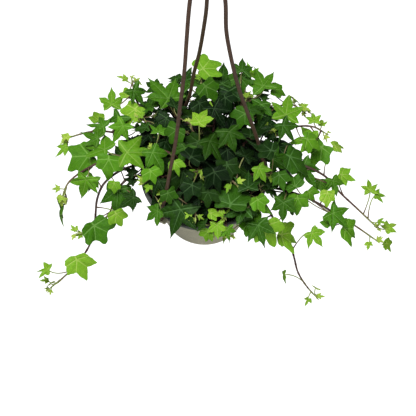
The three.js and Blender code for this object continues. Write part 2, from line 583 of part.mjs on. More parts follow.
// Leaves alternate along a trailing stem from its base to its tip, large and old first, then young and
// small. Where a stalk or blade would cross another, it bends to another bearing, height and length.
function growAlong(vine, index, seed) {
  const from = vine.nodes[index];
  const along = index / (vine.nodes.length - 1);
  const age = THREE.MathUtils.clamp(1.1 - along * 1.1, 0, 1);
  const next = vine.nodes[Math.min(index + 1, vine.nodes.length - 1)];
  const last = vine.nodes[Math.max(index - 1, 0)];
  const heading = THREE.MathUtils.radToDeg(Math.atan2(next.y - last.y, next.x - last.x));
  const outward = THREE.MathUtils.radToDeg(Math.atan2(from.y, from.x));
  const side = index % 2 ? 1 : -1;
  const hangs = THREE.MathUtils.clamp((Math.hypot(from.x, from.y) - 85) / 50, 0, 1);
  const size = lerp(TRAIL_LEAF_LARGEST, TRAIL_LEAF_SMALLEST, along ** 1.6) * draws(seed)(0.85, 1.2);
  for (let attempt = 0; attempt < TRIES; attempt += 1) {
    const draw = draws(seed * SEEDS_PER_STEM + attempt);
    const form = leafForm(draw, age);
    const reach = size * draw(0.55, 1.25) * lerp(1.15, 0.7, hangs);
    const rise = radians(draw(25, 80) * lerp(1, 0.55, hangs));
    const bearing = heading + side * draw(20, 120);
    const at = from.clone().add(polar(bearing, reach * Math.cos(rise), reach * Math.sin(rise)));
    const face = lerp(bearing, outward, 0.4) + draw(-30, 30);
    const blade = pose(at, face, draw(12, 40) + 25 * hangs, draw(-TRAIL_ROLL, TRAIL_ROLL));
    if (hidesPot(at, OPEN_REACH)) return false;
    if (grow([{ vine, from }], blade, form, size, age)) return true;
  }
  return false;
}

// A stem with its stalks and blades as one body. A loose scrap from the joining is dropped.
function fused(vine) {
  const parts = [vine.stem, ...vine.leaves.flatMap((leaf) => [leaf.petiole, leaf.blade])];
  return joined(parts).decompose().sort((a, b) => b.volume() - a.volume())[0];
}

// A rooted stem, the hole that it stands in, and the nodes along it that leaves can grow from.
function makeVine(points) {
  const curve = new THREE.CatmullRomCurve3(points);
  const length = curve.getLength();
  const steps = Math.round(length / STEM_STEP) + 2;
  const stem = solid(tube(curve, STEM_SIDES, steps, STEM_RADIUS, STEM_TIP_RADIUS));
  const room = tube(curve, STEM_SIDES, steps, STEM_RADIUS + HOLE_MARGIN);
  const hole = solid(room.translate(0, 0, -HOLE_MARGIN / 2));
  const centres = curve.getSpacedPoints(steps);
  const count = Math.round(length / NODE_SPACING);
  const nodes = [];
  for (let i = 0; i <= count; i += 1) {
    const along = Math.min(i / count, 1 - 2.5 / length) * steps;
    const step = Math.floor(along);
    const point = centres[step].clone().lerp(centres[step + 1], along - step);
    if (point.z > SOIL_TOP + LEAFLESS_HEIGHT || Math.hypot(point.x, point.y) > RIM_RADIUS) nodes.push(point);
  }
  return { stem, hole, nodes, leaves: [], taken: new Set() };
}

// Changes of height, bearing and dip that are tried in turn where a leaf's own place is taken.
const SMALL_SHIFTS = [[0, 0, 0], [2, 8, 0], [-2, -8, 0], [4, 15, 5], [-4, -15, -5], [7, 0, 8], [-7, 0, -8],
  [0, 30, 0], [0, -30, 0], [10, 20, 10], [-10, -20, -10]];
const WIDE_SHIFTS = [0, -7, 6, -14].flatMap((up) => [0, 40, -40, 80, -80, 120, -120, 160].map(
  (turn, i) => [up, turn, (i % 3) * 8 - 8],
));

function growTrailLeaves(trails) {
  const every = Math.round(TRAIL_LEAF_SPACING / NODE_SPACING);
  trails.forEach((vine, v) => {
    vine.nodes.forEach((from, i) => {
      const near = [i - 1, i, i + 1].some((k) => vine.taken.has(vine.nodes[k]));
      const tip = vine.nodes.length - 1 === i;
      const due = !near && i % every === 0 && !SET_TRAILS.includes(v);
      if (tip || due) growAlong(vine, i, TRAIL_SEED + v * SEEDS_PER_STEM + i);
    });
  });
}

// Leaves spread evenly over the mound, each a golden angle on from the last.
function growMound(vines) {
  for (let k = 0; k < MOUND_LEAVES; k += 1) {
    const draw = draws(MOUND_SEED + k);
    const bearing = k * GOLDEN_ANGLE;
    const at = polar(bearing, MOUND_SPACING * Math.sqrt(k + 0.5), 0);
    const height = moundHeight(at.x, at.y) - draw(9, 24);
    const row = [at.x, at.y, height, draw(25, 34), bearing + draw(-55, 55), draw(10, 45), draw(0.62, 1)];
    if (!hidesPot(at)) growSetLeaf(vines, row, MOUND_LEAF_SEED + k, WIDE_SHIFTS, MOUND_ROLL);
  }
}

// Leaves that hang in a ring just outside the rim, away from its open part.
function growSkirt(vines) {
  for (let k = 0; k < SKIRT_LEAVES; k += 1) {
    const draw = draws(SKIRT_SEED + k);
    const bearing = (k / SKIRT_LEAVES) * 360 + draw(-5, 5);
    const at = polar(bearing, SKIRT_RADIUS + draw(-4, 12), draw(8, 30));
    if (!hidesPot(at)) {
      const row = [at.x, at.y, at.z, draw(26, 34), bearing + draw(-35, 35), draw(35, 60), draw(0.5, 1)];
      growSetLeaf(vines, row, SKIRT_LEAF_SEED + k, WIDE_SHIFTS, MOUND_ROLL);
    }
  }
}

const pot = makePot();
const hanger = makeHanger();
const vines = [...ARCHES.map(arch), ...TRAILS.map(trail)].map(makeVine);
const soil = makeSoil(vines.map((vine) => vine.hole));
place(pot, 'pot', 'pot');
place(hanger, 'hanger', 'hanger');
place(soil, 'soil', 'soil');
vines.forEach((vine) => place(vine.stem, vine, 'stem'));
SET_LEAVES.forEach((row, i) => growSetLeaf(vines, row, SET_SEED + i, SMALL_SHIFTS, SET_ROLL));
growTrailLeaves(vines.slice(ARCHES.length));
growMound(vines);
growSkirt(vines);

const plastic = new THREE.MeshStandardMaterial({ color: 0x9a9d92, roughness: 0.5, metalness: 0 });
const brown = new THREE.MeshStandardMaterial({ color: 0x4a352b, roughness: 0.55, metalness: 0 });
const earth = new THREE.MeshStandardMaterial({ color: 0x2b211a, roughness: 0.95, metalness: 0 });
const leafGreen = new THREE.MeshStandardMaterial({ color: 0x3f7d2c, roughness: 0.5, metalness: 0 });

const plant = new THREE.Group();
plant.position.z = -HANG_DROP;
plant.add(piece('pot', pot, plastic), piece('soil', soil, earth), piece('hanger', hanger, brown));
vines.forEach((vine, i) => {
  plant.add(piece(`vine_${String(i + 1).padStart(2, '0')}`, fused(vine), leafGreen));
});

const model = new THREE.Group();
model.add(plant);
export default model;
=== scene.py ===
"""A trailing ivy in a round hanging pot, held by a moulded hanger of three strands."""
import math
import random

import bmesh
import bpy
from mathutils import Matrix, Vector, noise
from mathutils.bvhtree import BVHTree


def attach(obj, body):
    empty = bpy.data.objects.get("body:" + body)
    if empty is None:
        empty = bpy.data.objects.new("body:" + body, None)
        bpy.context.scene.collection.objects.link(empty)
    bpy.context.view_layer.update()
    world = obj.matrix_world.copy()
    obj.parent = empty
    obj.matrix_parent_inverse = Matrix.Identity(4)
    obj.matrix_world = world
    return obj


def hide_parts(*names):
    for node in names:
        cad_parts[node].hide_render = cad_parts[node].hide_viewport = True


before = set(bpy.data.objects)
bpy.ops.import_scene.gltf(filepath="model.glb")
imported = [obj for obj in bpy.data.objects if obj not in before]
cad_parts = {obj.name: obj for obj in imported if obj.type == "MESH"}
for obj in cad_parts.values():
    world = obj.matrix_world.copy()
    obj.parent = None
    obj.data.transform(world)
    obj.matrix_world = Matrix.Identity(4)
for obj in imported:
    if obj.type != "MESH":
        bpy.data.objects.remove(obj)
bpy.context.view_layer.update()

MM = 0.001

# Pot, in millimetres from the centre of its rim
HANG_DROP = 410
RIM_RADIUS = 76
RIM_DEPTH = 5
RIM_ROUND = 1.1
LIP_ROUND = 0.7
NECK_RADIUS = 72.6
BASE_RADIUS = 51
BASE_ROUND = 8
POT_HEIGHT = 98
WALL = 1.6
FOOT_RECESS = 1.5
FOOT_INNER_RADIUS = 37
DRAIN_HOLES = 6
DRAIN_RADIUS = 4
DRAIN_RING = 26
DRAIN_BEARING = 30
POT_STEPS = 128

# Lugs on the rim
LUG_BEARINGS = (351, 111, 231)
LUG_WIDTH = 15
LUG_THICKNESS = 2.4
LUG_INNER = 75
LUG_OUTER = 83
LUG_SLOT_RADIUS = 2.5
LUG_SQUARENESS = 5
LUG_EDGE_ROUND = 0.35
FOOT_RADIUS = 79.8

# Hanger
STRAND_RADIUS = 1.8
STRAND_OUTER = 2.2
STRAND_RIDGES = 4
STRAND_RIDGE_DEPTH = 0.07
HUB_HEIGHT = 368
HOOK_INNER_RADIUS = 9
HOOK_WIRE_RADIUS = 2.4
HOOK_TIP_RADII = (0.97, 0.8, 0.45, 0.1)

# Turned shapes at the strands' ends, each as heights and radii
STRAND_FOOT = ((-4.2, 1.75), (-2.5, 1.75), (1.0, STRAND_RADIUS), (5.2, STRAND_RADIUS))
STRAND_STOP = ((0.2, 1.9), (0.5, 2.9), (1.5, 2.9), (2.1, 1.9))
STRAND_BARB = ((-10.0, 0.7), (-9.6, 1.25), (-5.0, 3.25), (-4.3, 3.4), (-4.0, 3.2))
HUB_BOSS = ((-5.5, 2.1), (-5.0, 2.5), (-1.0, 2.9), (2.0, 2.9), (2.7, 2.4))

# Outline of the hub, as radii and heights
HUB_OUTLINE = (
    (0, -2), (3, -2), (6, -1), (10, -0.9), (13, -1.9), (15.6, -2), (16.6, -1.7), (17, -1), (17, 0.2),
    (16.6, 0.9), (15.2, 1.6), (9, 2.2), (5.6, 2.9), (4.3, 4), (3.6, 6.2), (3.3, 9), (2.6, 9.8), (0, 10),
)

# Routes of the three strands from above the lugs to the hub
STRAND_ROUTES = (
    ((66, -9, 48), (59, -8, 86), (46, -7, 140), (35, -6, 187), (26, -5, 240), (21, -4, 280),
     (19.5, -3, 322), (14, -2, HUB_HEIGHT)),
    ((-24, 63, 40), (-17, 55, 82), (-11.3, 46, 140), (-5.6, 37, 187), (-1, 28, 240), (2, 21, 285),
     (2.5, 17, 325), (2, 13, HUB_HEIGHT)),
    ((-42.5, -51, 50), (-39, -47, 75), (-31, -38, 129), (-25, -30, 187), (-19.8, -23, 240),
     (-17, -18, 285), (-14.3, -14, 325), (-10, -10, HUB_HEIGHT)),
)

# Soil
SOIL_TOP = -12
SOIL_LUMP = 2.2
SOIL_GAP = 0.7
SOIL_RINGS = 44
SOIL_STEPS = 120
CLEARANCE = 0.3
ROOT_DEPTH = 14.4

# Crumbs of two sizes on the soil, each with its level in the noise, its fineness and its height
SOIL_CRUMBS = ((3, 0.16, 1.6), (9, 0.5, 0.8))

# Loose crumbs, bark and perlite on the soil: how many, their sizes, and how flat they are
SOIL_BITS = ((900, (0.5, 1.9), (0.5, 0.9)), (110, (1.0, 3.0), (0.2, 0.4)), (70, (0.6, 1.5), (0.7, 1.0)))

# Stems and stalks
STEM_RADIUS = 1.55
STEM_TIP_RADIUS = 0.95
STEM_SIDES = 10
STEM_STEP = 27
STEM_PART = 3.5
NODE_SPACING = 9
NODE_SWELL = 0.22
LOWEST_NODE = 14
TIP_GAP = 2.5
STALK_RADIUS = 0.88
STALK_SIDES = 6
LONGEST_STALK = 80
STRAIGHT_STALK = 15

# Ages of the wood, from 0 at its palest to 1 at its darkest
ARCH_TIP_AGE = 0.42
TRAIL_TIP_AGE = 0.18
STALK_BASE_AGE = 0.6
TIP_STALK_AGE = 0.16
STALK_AGES = (0.12, 0.42)

# Blades, whose thickness in the solids tells a leaf's age
BLADE_THIN = 0.7
BLADE_THICK = 0.9
BLADE_TOLERANCE = 0.02
LEAF_THICKNESS = 0.36

# Places of the leaf outline's ten points on the leaf's own map, the blade's length being 1
MAP_ANGLES = (0, 26, 52, 83, 114, 180, 246, 277, 308, 334)
MAP_REACHES = (1, 0.46, 0.73, 0.41, 0.45, 0.13, 0.45, 0.41, 0.73, 0.46)
NOTCH = 5

# The points at the ends of the main veins, and the two sides of the outline that meet in the notch
VEIN_CORNERS = (0, 2, 4, 6, 8)
BASE_SIDES = (4, 5)

# How far each side of the outline bows out, as a share of its length
SIDE_BOWS = (0.10, 0.07, 0.07, 0.07, 0.15, 0.15, 0.07, 0.07, 0.07, 0.10)
RUFFLE_BEAT = 9.3

# What a leaf's own habit is drawn from: how far its lobes and dips reach, how its sides bow and come to
# a point, and how it waves, ruffles, swells between its veins, twists, cups and droops
LOBE_SHARES = (1.0, 1.06)
DIP_SHARES = (0.74, 0.94)
BOWS = (0.4, 1.4)
POINTS = (0.005, 0.035)
WAVES = (0.02, 0.065)
RUFFLES = (0.008, 0.032)
PUFFS = (0.035, 0.085)
TWISTS = (-0.20, 0.20)
CUPS = (-0.06, 0.14)
DROOPS = (-0.02, 0.13)

# How strongly a leaf is bent, tried in turn until it is clear of the others
BENDS = (1.0, 1.0, 0.8, 0.6, 0.4, 0.2)

# Painted light: by what share the leaves that stand out from the mound are coloured younger and paler, and
# where that starts and ends
PAINTED_LIGHT_LEFT = 0.36
PAINTED_LIGHT_RIGHT = 0.42
PAINTED_LIGHT_RADIUS = 62
PAINTED_LIGHT_RISE = 70

# Painted shade: how far the middle of the mound reaches where old leaves are darkened, and by what share
DEEP_RADIUS = 54
DEEP_FADE = 38
DEEP_PAINTED_SHADE = 0.58
DEEP_AGE = 0.35
DEEP_AGE_RISE = 0.3

# Leaves that fill the shade under the mound: how far out they grow, how often each is tried, what their
# lengths, places, turns and ages are drawn from, and the painted shade that darkens them
UNDER_RADIUS = 110
UNDER_TRIES = 140
UNDER_SIZES = (14, 26)
UNDER_SMALL_SIZES = (9, 15)
UNDER_REACHES = (8, 30)
UNDER_RISES = (2, 20)
UNDER_TURN = 40
UNDER_DIPS = (5, 50)
UNDER_ROLL = 20
UNDER_AGES = (0.7, 1.0)
UNDER_FOLDS = (0, 0.2)
UNDER_PAINTED_SHADES = (0.35, 0.65)
UNDER_DEPTH = 7

# The front of the pot that no such leaf may cover, as its places front and top
OPEN_FRONT = -56
OPEN_TOP = 12

# Room that such a leaf and its stalk keep from the others
LEAF_ROOM = 1.2
KEPT_ROOM = 0.5
ROOM_LIFT = 0.5
ROOM_DEPTH = 0.6
STALK_ROOM = 0.9

# Growing tips: the bud as places ahead of the stem's end, radii and ages, and the small leaves as places
# back from the end, lengths and lengths of stalk
BUD = ((-1.0, 0.7, 0.12), (1.5, 1.1, 0.05), (3.5, 0.9, 0.0), (6.0, 0.2, 0.0))
TIP_LEAVES = ((0.0, 6.0, 3.0), (5.0, 8.5, 6.0), (12.0, 11.0, 9.0))
TIP_TURN = 137
TIP_OLDEST = 0.14

# Routes of the stems, as bearing and radius of the root, height and radius of the shoulder, then bearing,
# radius and height of the tip
ARCHES = (
    (10, 10, 52, 16, 24, 30, 62), (130, 11, 54, 16, 120, 34, 64), (250, 10, 48, 18, 262, 34, 54),
    (70, 22, 50, 30, 76, 58, 60), (185, 24, 46, 32, 178, 60, 50), (305, 24, 42, 32, 310, 58, 46),
    (25, 38, 36, 50, 22, 84, 42), (52, 36, 40, 50, 55, 92, 46), (92, 38, 42, 54, 92, 104, 50),
    (122, 38, 40, 52, 124, 96, 48), (150, 36, 38, 50, 148, 92, 44), (208, 38, 34, 48, 206, 78, 34),
    (232, 40, 28, 50, 226, 70, 28), (258, 40, 24, 50, 262, 74, 22), (284, 40, 24, 50, 288, 74, 22),
    (312, 40, 26, 52, 318, 84, 24), (338, 38, 32, 50, 340, 88, 34),
    (75, 58, 22, 72, 74, 106, 22), (105, 58, 22, 72, 108, 104, 18),
)

# Stems that trail over the rim, each a root and then points to the growing tip
TRAILS = (
    ((-58, -3), (-74, -1, 17), (-97, -11, 23), (-117, -22, 12), (-126, -34, -4), (-129, -46, -22),
     (-132, -56, -42), (-138, -66, -60), (-150, -78, -76), (-166, -90, -90), (-190, -104, -106)),
    ((-54, -14), (-70, -13, 12), (-88, -18, 17), (-100, -26, 8), (-106, -36, -4), (-112, -46, -17),
     (-124, -54, -28), (-140, -60, -37), (-153, -62, -41)),
    ((-58, 12), (-75, 14, 12), (-106, 2, 30), (-138, -10, 24), (-160, -20, 8), (-168, -30, -8)),
    ((-58, 22), (-76, 28, 16), (-104, 38, 26), (-134, 44, 20), (-167, 43, 6)),
    ((-50, 38), (-64, 54, 18), (-80, 78, 30), (-86, 100, 31), (-89, 118, 22)),
    ((60, -8), (80, -5, 18), (110, -6, 27), (140, -13, 14), (160, -26, -4), (180, -36, -22),
     (208, -50, -48)),
    ((56, -24), (76, -29, 14), (104, -38, 17), (130, -43, 4), (152, -47, -14), (178, -52, -36),
     (208, -60, -62)),
    ((48, -37), (63, -42, 13), (76, -56, 4), (85, -64, -20), (102, -75, -46), (108, -80, -68),
     (114, -88, -92), (126, -97, -114), (139, -104, -131)),
    ((58, 20), (76, 30, 22), (104, 42, 32), (128, 48, 25), (146, 49, 8)),
    ((48, 38), (62, 54, 20), (84, 71, 30), (104, 80, 24), (119, 82, 8)),
    ((26, 57), (32, 74, 12), (38, 92, 4), (42, 100, -26), (46, 104, -64), (44, 108, -104)),
    ((-30, 55), (-38, 72, 12), (-48, 88, 2), (-54, 96, -30), (-60, 104, -66), (-70, 108, -96)),
    ((-2, 60), (-4, 78, 12), (-4, 98, 8), (-2, 112, -16), (4, 116, -44)),
    ((8, -60), (9, -73, 8), (11, -85, 3)),
    ((22, -58), (24, -72, 9), (28, -86, 4)),
)
ROUTE_DIVISIONS = 200

# Colours of leaf, vein and stem, from the youngest at 0 to the oldest at 1
LEAF_GREENS = (
    (0.0, (0.42, 0.56, 0.085)),
    (0.12, (0.205, 0.43, 0.021)),
    (0.32, (0.098, 0.285, 0.010)),
    (0.52, (0.046, 0.165, 0.005)),
    (0.74, (0.020, 0.072, 0.004)),
    (0.88, (0.006, 0.034, 0.004)),
    (1.0, (0.003, 0.019, 0.003)),
)
VEIN_GREENS = (
    (0.0, (0.62, 0.74, 0.18)),
    (0.35, (0.25, 0.48, 0.080)),
    (0.7, (0.125, 0.28, 0.075)),
    (1.0, (0.120, 0.230, 0.100)),
)
BACK_GREENS = (
    (0.0, (0.42, 0.60, 0.13)),
    (0.35, (0.22, 0.42, 0.09)),
    (0.7, (0.12, 0.25, 0.075)),
    (1.0, (0.09, 0.17, 0.07)),
)
BACK_VEINS = ((0.0, (0.56, 0.70, 0.24)), (1.0, (0.24, 0.34, 0.16)))
STEM_BROWNS = (
    (0.0, (0.42, 0.52, 0.12)),
    (0.25, (0.25, 0.33, 0.085)),
    (0.45, (0.17, 0.13, 0.055)),
    (0.62, (0.085, 0.034, 0.024)),
    (1.0, (0.050, 0.026, 0.018)),
)
LEAF_BLOTCH = 0.36
STEM_BLOTCH = 0.3

# Veins, as shares of the blade's length: the main ones' width and taper, the lesser ones' spacing, slant,
# wander and fading, and how finely the net between them is cut
VEIN_WIDTH = 0.0135
VEIN_TAPER = 0.010
LESSER_SPACING = 0.155
LESSER_SLANT = 0.95
LESSER_WANDER = 0.10
LESSER_FADE = 2.6
NET_FINENESS = 17

# How strongly each kind of vein shows in the colour and in the relief
VEIN_COLOUR = 0.7
LESSER_COLOUR = 0.42
NET_COLOUR = 0.10
LESSER_RELIEF = 0.55
NET_RELIEF = 0.22
PUCKER_RELIEF = 1.1
LEAF_RELIEF_DEPTH = 0.0005

# Colours of pot, hanger and soil, by the height of the noise that mottles them
POT_OUTER_GREYS = ((0.32, (0.44, 0.425, 0.29)), (0.5, (0.52, 0.50, 0.345)), (0.68, (0.60, 0.575, 0.40)))
POT_INNER_GREYS = ((0.32, (0.07, 0.08, 0.068)), (0.5, (0.095, 0.108, 0.092)), (0.68, (0.125, 0.14, 0.12)))
POT_SPECKS = ((0.36, (0.80, 0.80, 0.80)), (0.52, (1, 1, 1)), (0.7, (1.07, 1.07, 1.05)))
HANGER_BROWNS = ((0.35, (0.066, 0.034, 0.021)), (0.6, (0.105, 0.057, 0.036)))
SOIL_BROWNS = (
    (0.30, (0.006, 0.004, 0.003)),
    (0.48, (0.022, 0.013, 0.009)),
    (0.62, (0.050, 0.028, 0.018)),
    (0.75, (0.075, 0.042, 0.026)),
)
BARK_BROWNS = ((0.35, (0.060, 0.022, 0.012)), (0.65, (0.16, 0.062, 0.032)))
PERLITE_WHITES = ((0.3, (0.42, 0.40, 0.36)), (0.6, (0.66, 0.64, 0.60)))
BLACK_TO_WHITE = ((0, (0, 0, 0)), (1, (1, 1, 1)))

# Light and floor, in metres from the hook
AMBIENT = 0.18
KEY_POWER = 41
FILL_POWER = 11
KEY_PLACE = (-0.35, -0.15, 1.5)
FILL_PLACE = (0.5, -1.6, 0.1)
LAMP_TARGET = (0, 0, -0.38)
LAMP_SIZE = 1.0
FLOOR_HEIGHT = -1.6
FLOOR_SIZE = 6.0
FLOOR_GREY = 0.55

# Camera: its distance from the rim's centre, its angle above the level, its focal length and the
# picture's side in pixels, and the pixel where the rim's centre lies
CAMERA_DISTANCE = 1.3
CAMERA_ELEVATION = 60
SENSOR_WIDTH = 36
FOCAL_PIXELS = 1095
PICTURE_SIZE = 416
RIM_PIXEL = (204.5, 172)


# Places

def at(x, y, z):
    """A point in millimetres from the rim's centre, as metres from the hook."""
    return Vector((x, y, z - HANG_DROP)) * MM


def polar(bearing, radius, z):
    """A point at a bearing round the pot's axis, in millimetres."""
    angle = math.radians(bearing)
    return (radius * math.cos(angle), radius * math.sin(angle), z)


def mix(low, high, share):
    return low + (high - low) * share


def clamp(value, low=0.0, high=1.0):
    return max(low, min(high, value))


class Route:
    """A smooth line through points, walked by its length."""

    def __init__(self, points):
        self.points = [Vector(point) for point in points]
        self.samples = [self.point(i / ROUTE_DIVISIONS) for i in range(ROUTE_DIVISIONS + 1)]
        self.lengths = [0.0]
        for last, here in zip(self.samples, self.samples[1:]):
            self.lengths.append(self.lengths[-1] + (here - last).length)
        self.length = self.lengths[-1]

    def point(self, share):
        """The point at a share of the spans, on the curve that runs evenly through all the points."""
        points = self.points
        place = share * (len(points) - 1)
        span = min(int(place), len(points) - 2)
        weight = place - span
        second, third = points[span], points[span + 1]
        first = points[span - 1] if span > 0 else 2 * points[0] - points[1]
        fourth = points[span + 2] if span + 2 < len(points) else 2 * points[-1] - points[-2]
        gaps = [math.sqrt((b - a).length) for a, b in ((first, second), (second, third), (third, fourth))]
        middle = gaps[1]
        leave = ((second - first) / gaps[0] - (third - first) / (gaps[0] + middle)
                 + (third - second) / middle) * middle
        arrive = ((third - second) / middle - (fourth - second) / (middle + gaps[2])
                  + (fourth - third) / gaps[2]) * middle
        square = -3 * second + 3 * third - 2 * leave - arrive
        cube = 2 * second - 2 * third + leave + arrive
        return second + leave * weight + square * weight ** 2 + cube * weight ** 3

    def along(self, share):
        """The point at a share of the line's length."""
        target = share * self.length
        low, high = 0, len(self.lengths) - 1
        while high - low > 1:
            middle = (low + high) // 2
            if self.lengths[middle] <= target:
                low = middle
            else:
                high = middle
        gap = self.lengths[low + 1] - self.lengths[low]
        rest = (target - self.lengths[low]) / gap
        return self.point((low + rest) / (len(self.lengths) - 1))

    def spaced(self, steps):
        return [self.along(i / steps) for i in range(steps + 1)]


def arch_route(row):
    """A short stem: straight out of the soil, up to its shoulder, and over to its tip."""
    bearing, radius, height, shoulder, end_bearing, reach, end_height = row
    return Route([at(*point) for point in (
        polar(bearing, radius, SOIL_TOP - ROOT_DEPTH),
        polar(bearing, radius, SOIL_TOP + 8),
        polar(bearing, mix(radius, shoulder, 0.4), height * 0.62),
        polar(mix(bearing, end_bearing, 0.4), mix(shoulder, reach, 0.25), height),
        polar(mix(bearing, end_bearing, 0.8), mix(shoulder, reach, 0.7), mix(height, end_height, 0.5) + 3),
        polar(end_bearing, reach, end_height),
    )])


def trail_route(points):
    """A long stem: straight out of the soil at its root, and on through its points."""
    root, route = points[0], points[1:]
    below = at(*root, SOIL_TOP - ROOT_DEPTH)
    above = at(*root, SOIL_TOP + 6)
    return Route([below, above, *[at(*point) for point in route]])


# Finishes

class Finish:
    """A material in the making: its surface shader, and the nodes that colour and roughen it."""

    def __init__(self, name, roughness):
        self.material = bpy.data.materials.new(name)
        self.material.use_nodes = True
        self.tree = self.material.node_tree
        self.shader = self.tree.nodes["Principled BSDF"]
        self.shader.inputs["Roughness"].default_value = roughness

    def put(self, target, value):
        """Joins a socket to a socket, or sets it to a number."""
        if isinstance(value, (int, float, tuple)):
            target.default_value = value
        else:
            self.tree.links.new(value, target)

    def node(self, kind, inputs, **settings):
        """A new node with its settings, and its inputs joined or set."""
        made = self.tree.nodes.new(kind)
        for key, value in settings.items():
            setattr(made, key, value)
        for key, value in inputs.items():
            self.put(made.inputs[key], value)
        return made

    def maths(self, operation, *values, clamped=False):
        inputs = dict(enumerate(values))
        return self.node("ShaderNodeMath", inputs, operation=operation, use_clamp=clamped).outputs[0]

    def ramp(self, factor, stops):
        """A colour that follows a number through its stops."""
        made = self.node("ShaderNodeValToRGB", {0: factor})
        elements = made.color_ramp.elements
        while len(elements) < len(stops):
            elements.new(0.5)
        for element, (position, colour) in zip(elements, stops):
            element.position = position
            element.color = (*colour, 1)
        return made.outputs[0]

    def blend(self, factor, first, second, kind="MIX"):
        made = self.node("ShaderNodeMix", {"Factor": factor}, data_type="RGBA", blend_type=kind)
        for key, value in (("A", first), ("B", second)):
            socket = [s for s in made.inputs if s.name == key and s.type == "RGBA"][0]
            self.put(socket, value)
        return [s for s in made.outputs if s.type == "RGBA"][0]

    def object_noise(self, scale, detail=4, roughness=0.55):
        """A noise that keeps its place on the object."""
        where = self.node("ShaderNodeTexCoord", {}).outputs["Object"]
        inputs = {"Vector": where, "Scale": scale, "Detail": detail, "Roughness": roughness}
        return self.node("ShaderNodeTexNoise", inputs).outputs["Fac"]

    def fall(self, value, near, far, kind="SMOOTHSTEP"):
        """Falls from 1 to 0 while a number goes from near to far."""
        inputs = {"Value": value, "From Min": near, "From Max": far, "To Min": 1.0, "To Max": 0.0}
        return self.node("ShaderNodeMapRange", inputs, interpolation_type=kind).outputs[0]

    def attribute(self, name):
        return self.node("ShaderNodeAttribute", {}, attribute_name=name).outputs["Fac"]

    def colour(self, value):
        self.put(self.shader.inputs["Base Color"], value)

    def relief(self, height, strength, distance):
        inputs = {"Strength": strength, "Distance": distance, "Height": height}
        self.put(self.shader.inputs["Normal"], self.node("ShaderNodeBump", inputs).outputs[0])


def vein_pattern(finish):
    """How far a spot of the leaf is on a main vein, on one of the lesser veins that branch from it, and on
    the fine net between them."""
    maths = finish.maths
    uv = finish.node("ShaderNodeUVMap", {}, uv_map="leaf").outputs[0]
    centred = {"Vector": uv, "Location": (-1, -1, 0), "Scale": (2, 2, 1)}
    chart = finish.node("ShaderNodeMapping", centred).outputs[0]
    wander = finish.node("ShaderNodeTexNoise", {"Vector": chart, "Scale": 3.2, "Detail": 1}).outputs["Fac"]
    parts = finish.node("ShaderNodeSeparateXYZ", {0: chart})
    x, y = parts.outputs[0], parts.outputs[1]
    radius = maths("SQRT", maths("ADD", maths("MULTIPLY", x, x), maths("MULTIPLY", y, y)))
    angle = maths("ARCTAN2", maths("ABSOLUTE", y), x)
    side, base = math.radians(MAP_ANGLES[2]), math.radians(MAP_ANGLES[4])
    past_dip = maths("GREATER_THAN", angle, math.radians(MAP_ANGLES[1]))
    past_second = maths("GREATER_THAN", angle, math.radians(MAP_ANGLES[3]))
    vein_angle = maths("ADD", maths("MULTIPLY", past_dip, side),
                       maths("MULTIPLY", past_second, base - side))
    off = maths("ABSOLUTE", maths("SUBTRACT", angle, vein_angle))
    ahead = maths("MULTIPLY", radius, maths("COSINE", off))
    across = maths("MULTIPLY", radius, maths("SINE", off))
    width = maths("MULTIPLY_ADD", ahead, -VEIN_TAPER, VEIN_WIDTH)
    main = finish.fall(maths("DIVIDE", across, width), 0.35, 1.6)
    swung = maths("MULTIPLY_ADD", across, -LESSER_SLANT, ahead)
    swung = maths("MULTIPLY_ADD", wander, LESSER_WANDER, swung)
    step = maths("FRACT", maths("DIVIDE", swung, LESSER_SPACING))
    lesser = finish.fall(maths("ABSOLUTE", maths("SUBTRACT", step, 0.5)), 0.015, 0.11)
    fade = maths("MULTIPLY_ADD", across, -LESSER_FADE, 0.95, clamped=True)
    cells = {"Vector": chart, "Scale": NET_FINENESS}
    net = finish.node("ShaderNodeTexVoronoi", cells, feature="DISTANCE_TO_EDGE").outputs["Distance"]
    return main, maths("MULTIPLY", lesser, fade), finish.fall(net, 0.0, 0.10, "LINEAR")


def leaf_finish(name, greens, veins, roughness, relief_depth):
    """A waxy leaf, coloured by its age, blotched, veined and puckered, and darkened by its random tone and
    by painted shade.
    """
    finish = Finish(name, roughness)
    maths = finish.maths
    age = finish.attribute("age")
    main, branch, net = vein_pattern(finish)
    blotch = finish.object_noise(170, 5, 0.72)
    shifted = maths("ADD", age, maths("MULTIPLY_ADD", blotch, LEAF_BLOTCH, -LEAF_BLOTCH / 2))
    tone = maths("MULTIPLY_ADD", finish.attribute("tone"), 0.5, 0.75)
    # Painted shade: the shade attribute, with the leaf's random tone, darkens its colour
    light = finish.ramp(maths("MULTIPLY", tone, finish.attribute("shade")), BLACK_TO_WHITE)
    on_vein = maths("MAXIMUM", maths("MULTIPLY", main, VEIN_COLOUR),
                    maths("MULTIPLY", branch, LESSER_COLOUR * VEIN_COLOUR))
    on_vein = maths("MAXIMUM", on_vein, maths("MULTIPLY", net, NET_COLOUR * VEIN_COLOUR))
    colour = finish.blend(on_vein, finish.ramp(shifted, greens), finish.ramp(age, veins))
    finish.colour(finish.blend(1.0, colour, light, "MULTIPLY"))
    height = maths("MULTIPLY_ADD", branch, LESSER_RELIEF, main)
    height = maths("MULTIPLY_ADD", net, NET_RELIEF, height)
    height = maths("MULTIPLY_ADD", finish.object_noise(420, 3), PUCKER_RELIEF, height)
    finish.relief(height, 0.6, relief_depth)
    finish.shader.inputs["Specular IOR Level"].default_value = 0.1
    return finish.material


def stem_finish():
    """Bark of a young stem, from green at the tip to brown at the root."""
    finish = Finish("ivy_stem", 0.6)
    patch = finish.object_noise(260, 4)
    shift = finish.maths("MULTIPLY_ADD", patch, STEM_BLOTCH, -STEM_BLOTCH / 2)
    shifted = finish.maths("ADD", finish.attribute("age"), shift)
    finish.colour(finish.ramp(shifted, STEM_BROWNS))
    finish.relief(finish.object_noise(1500, 3), 0.4, 0.0003)
    return finish.material


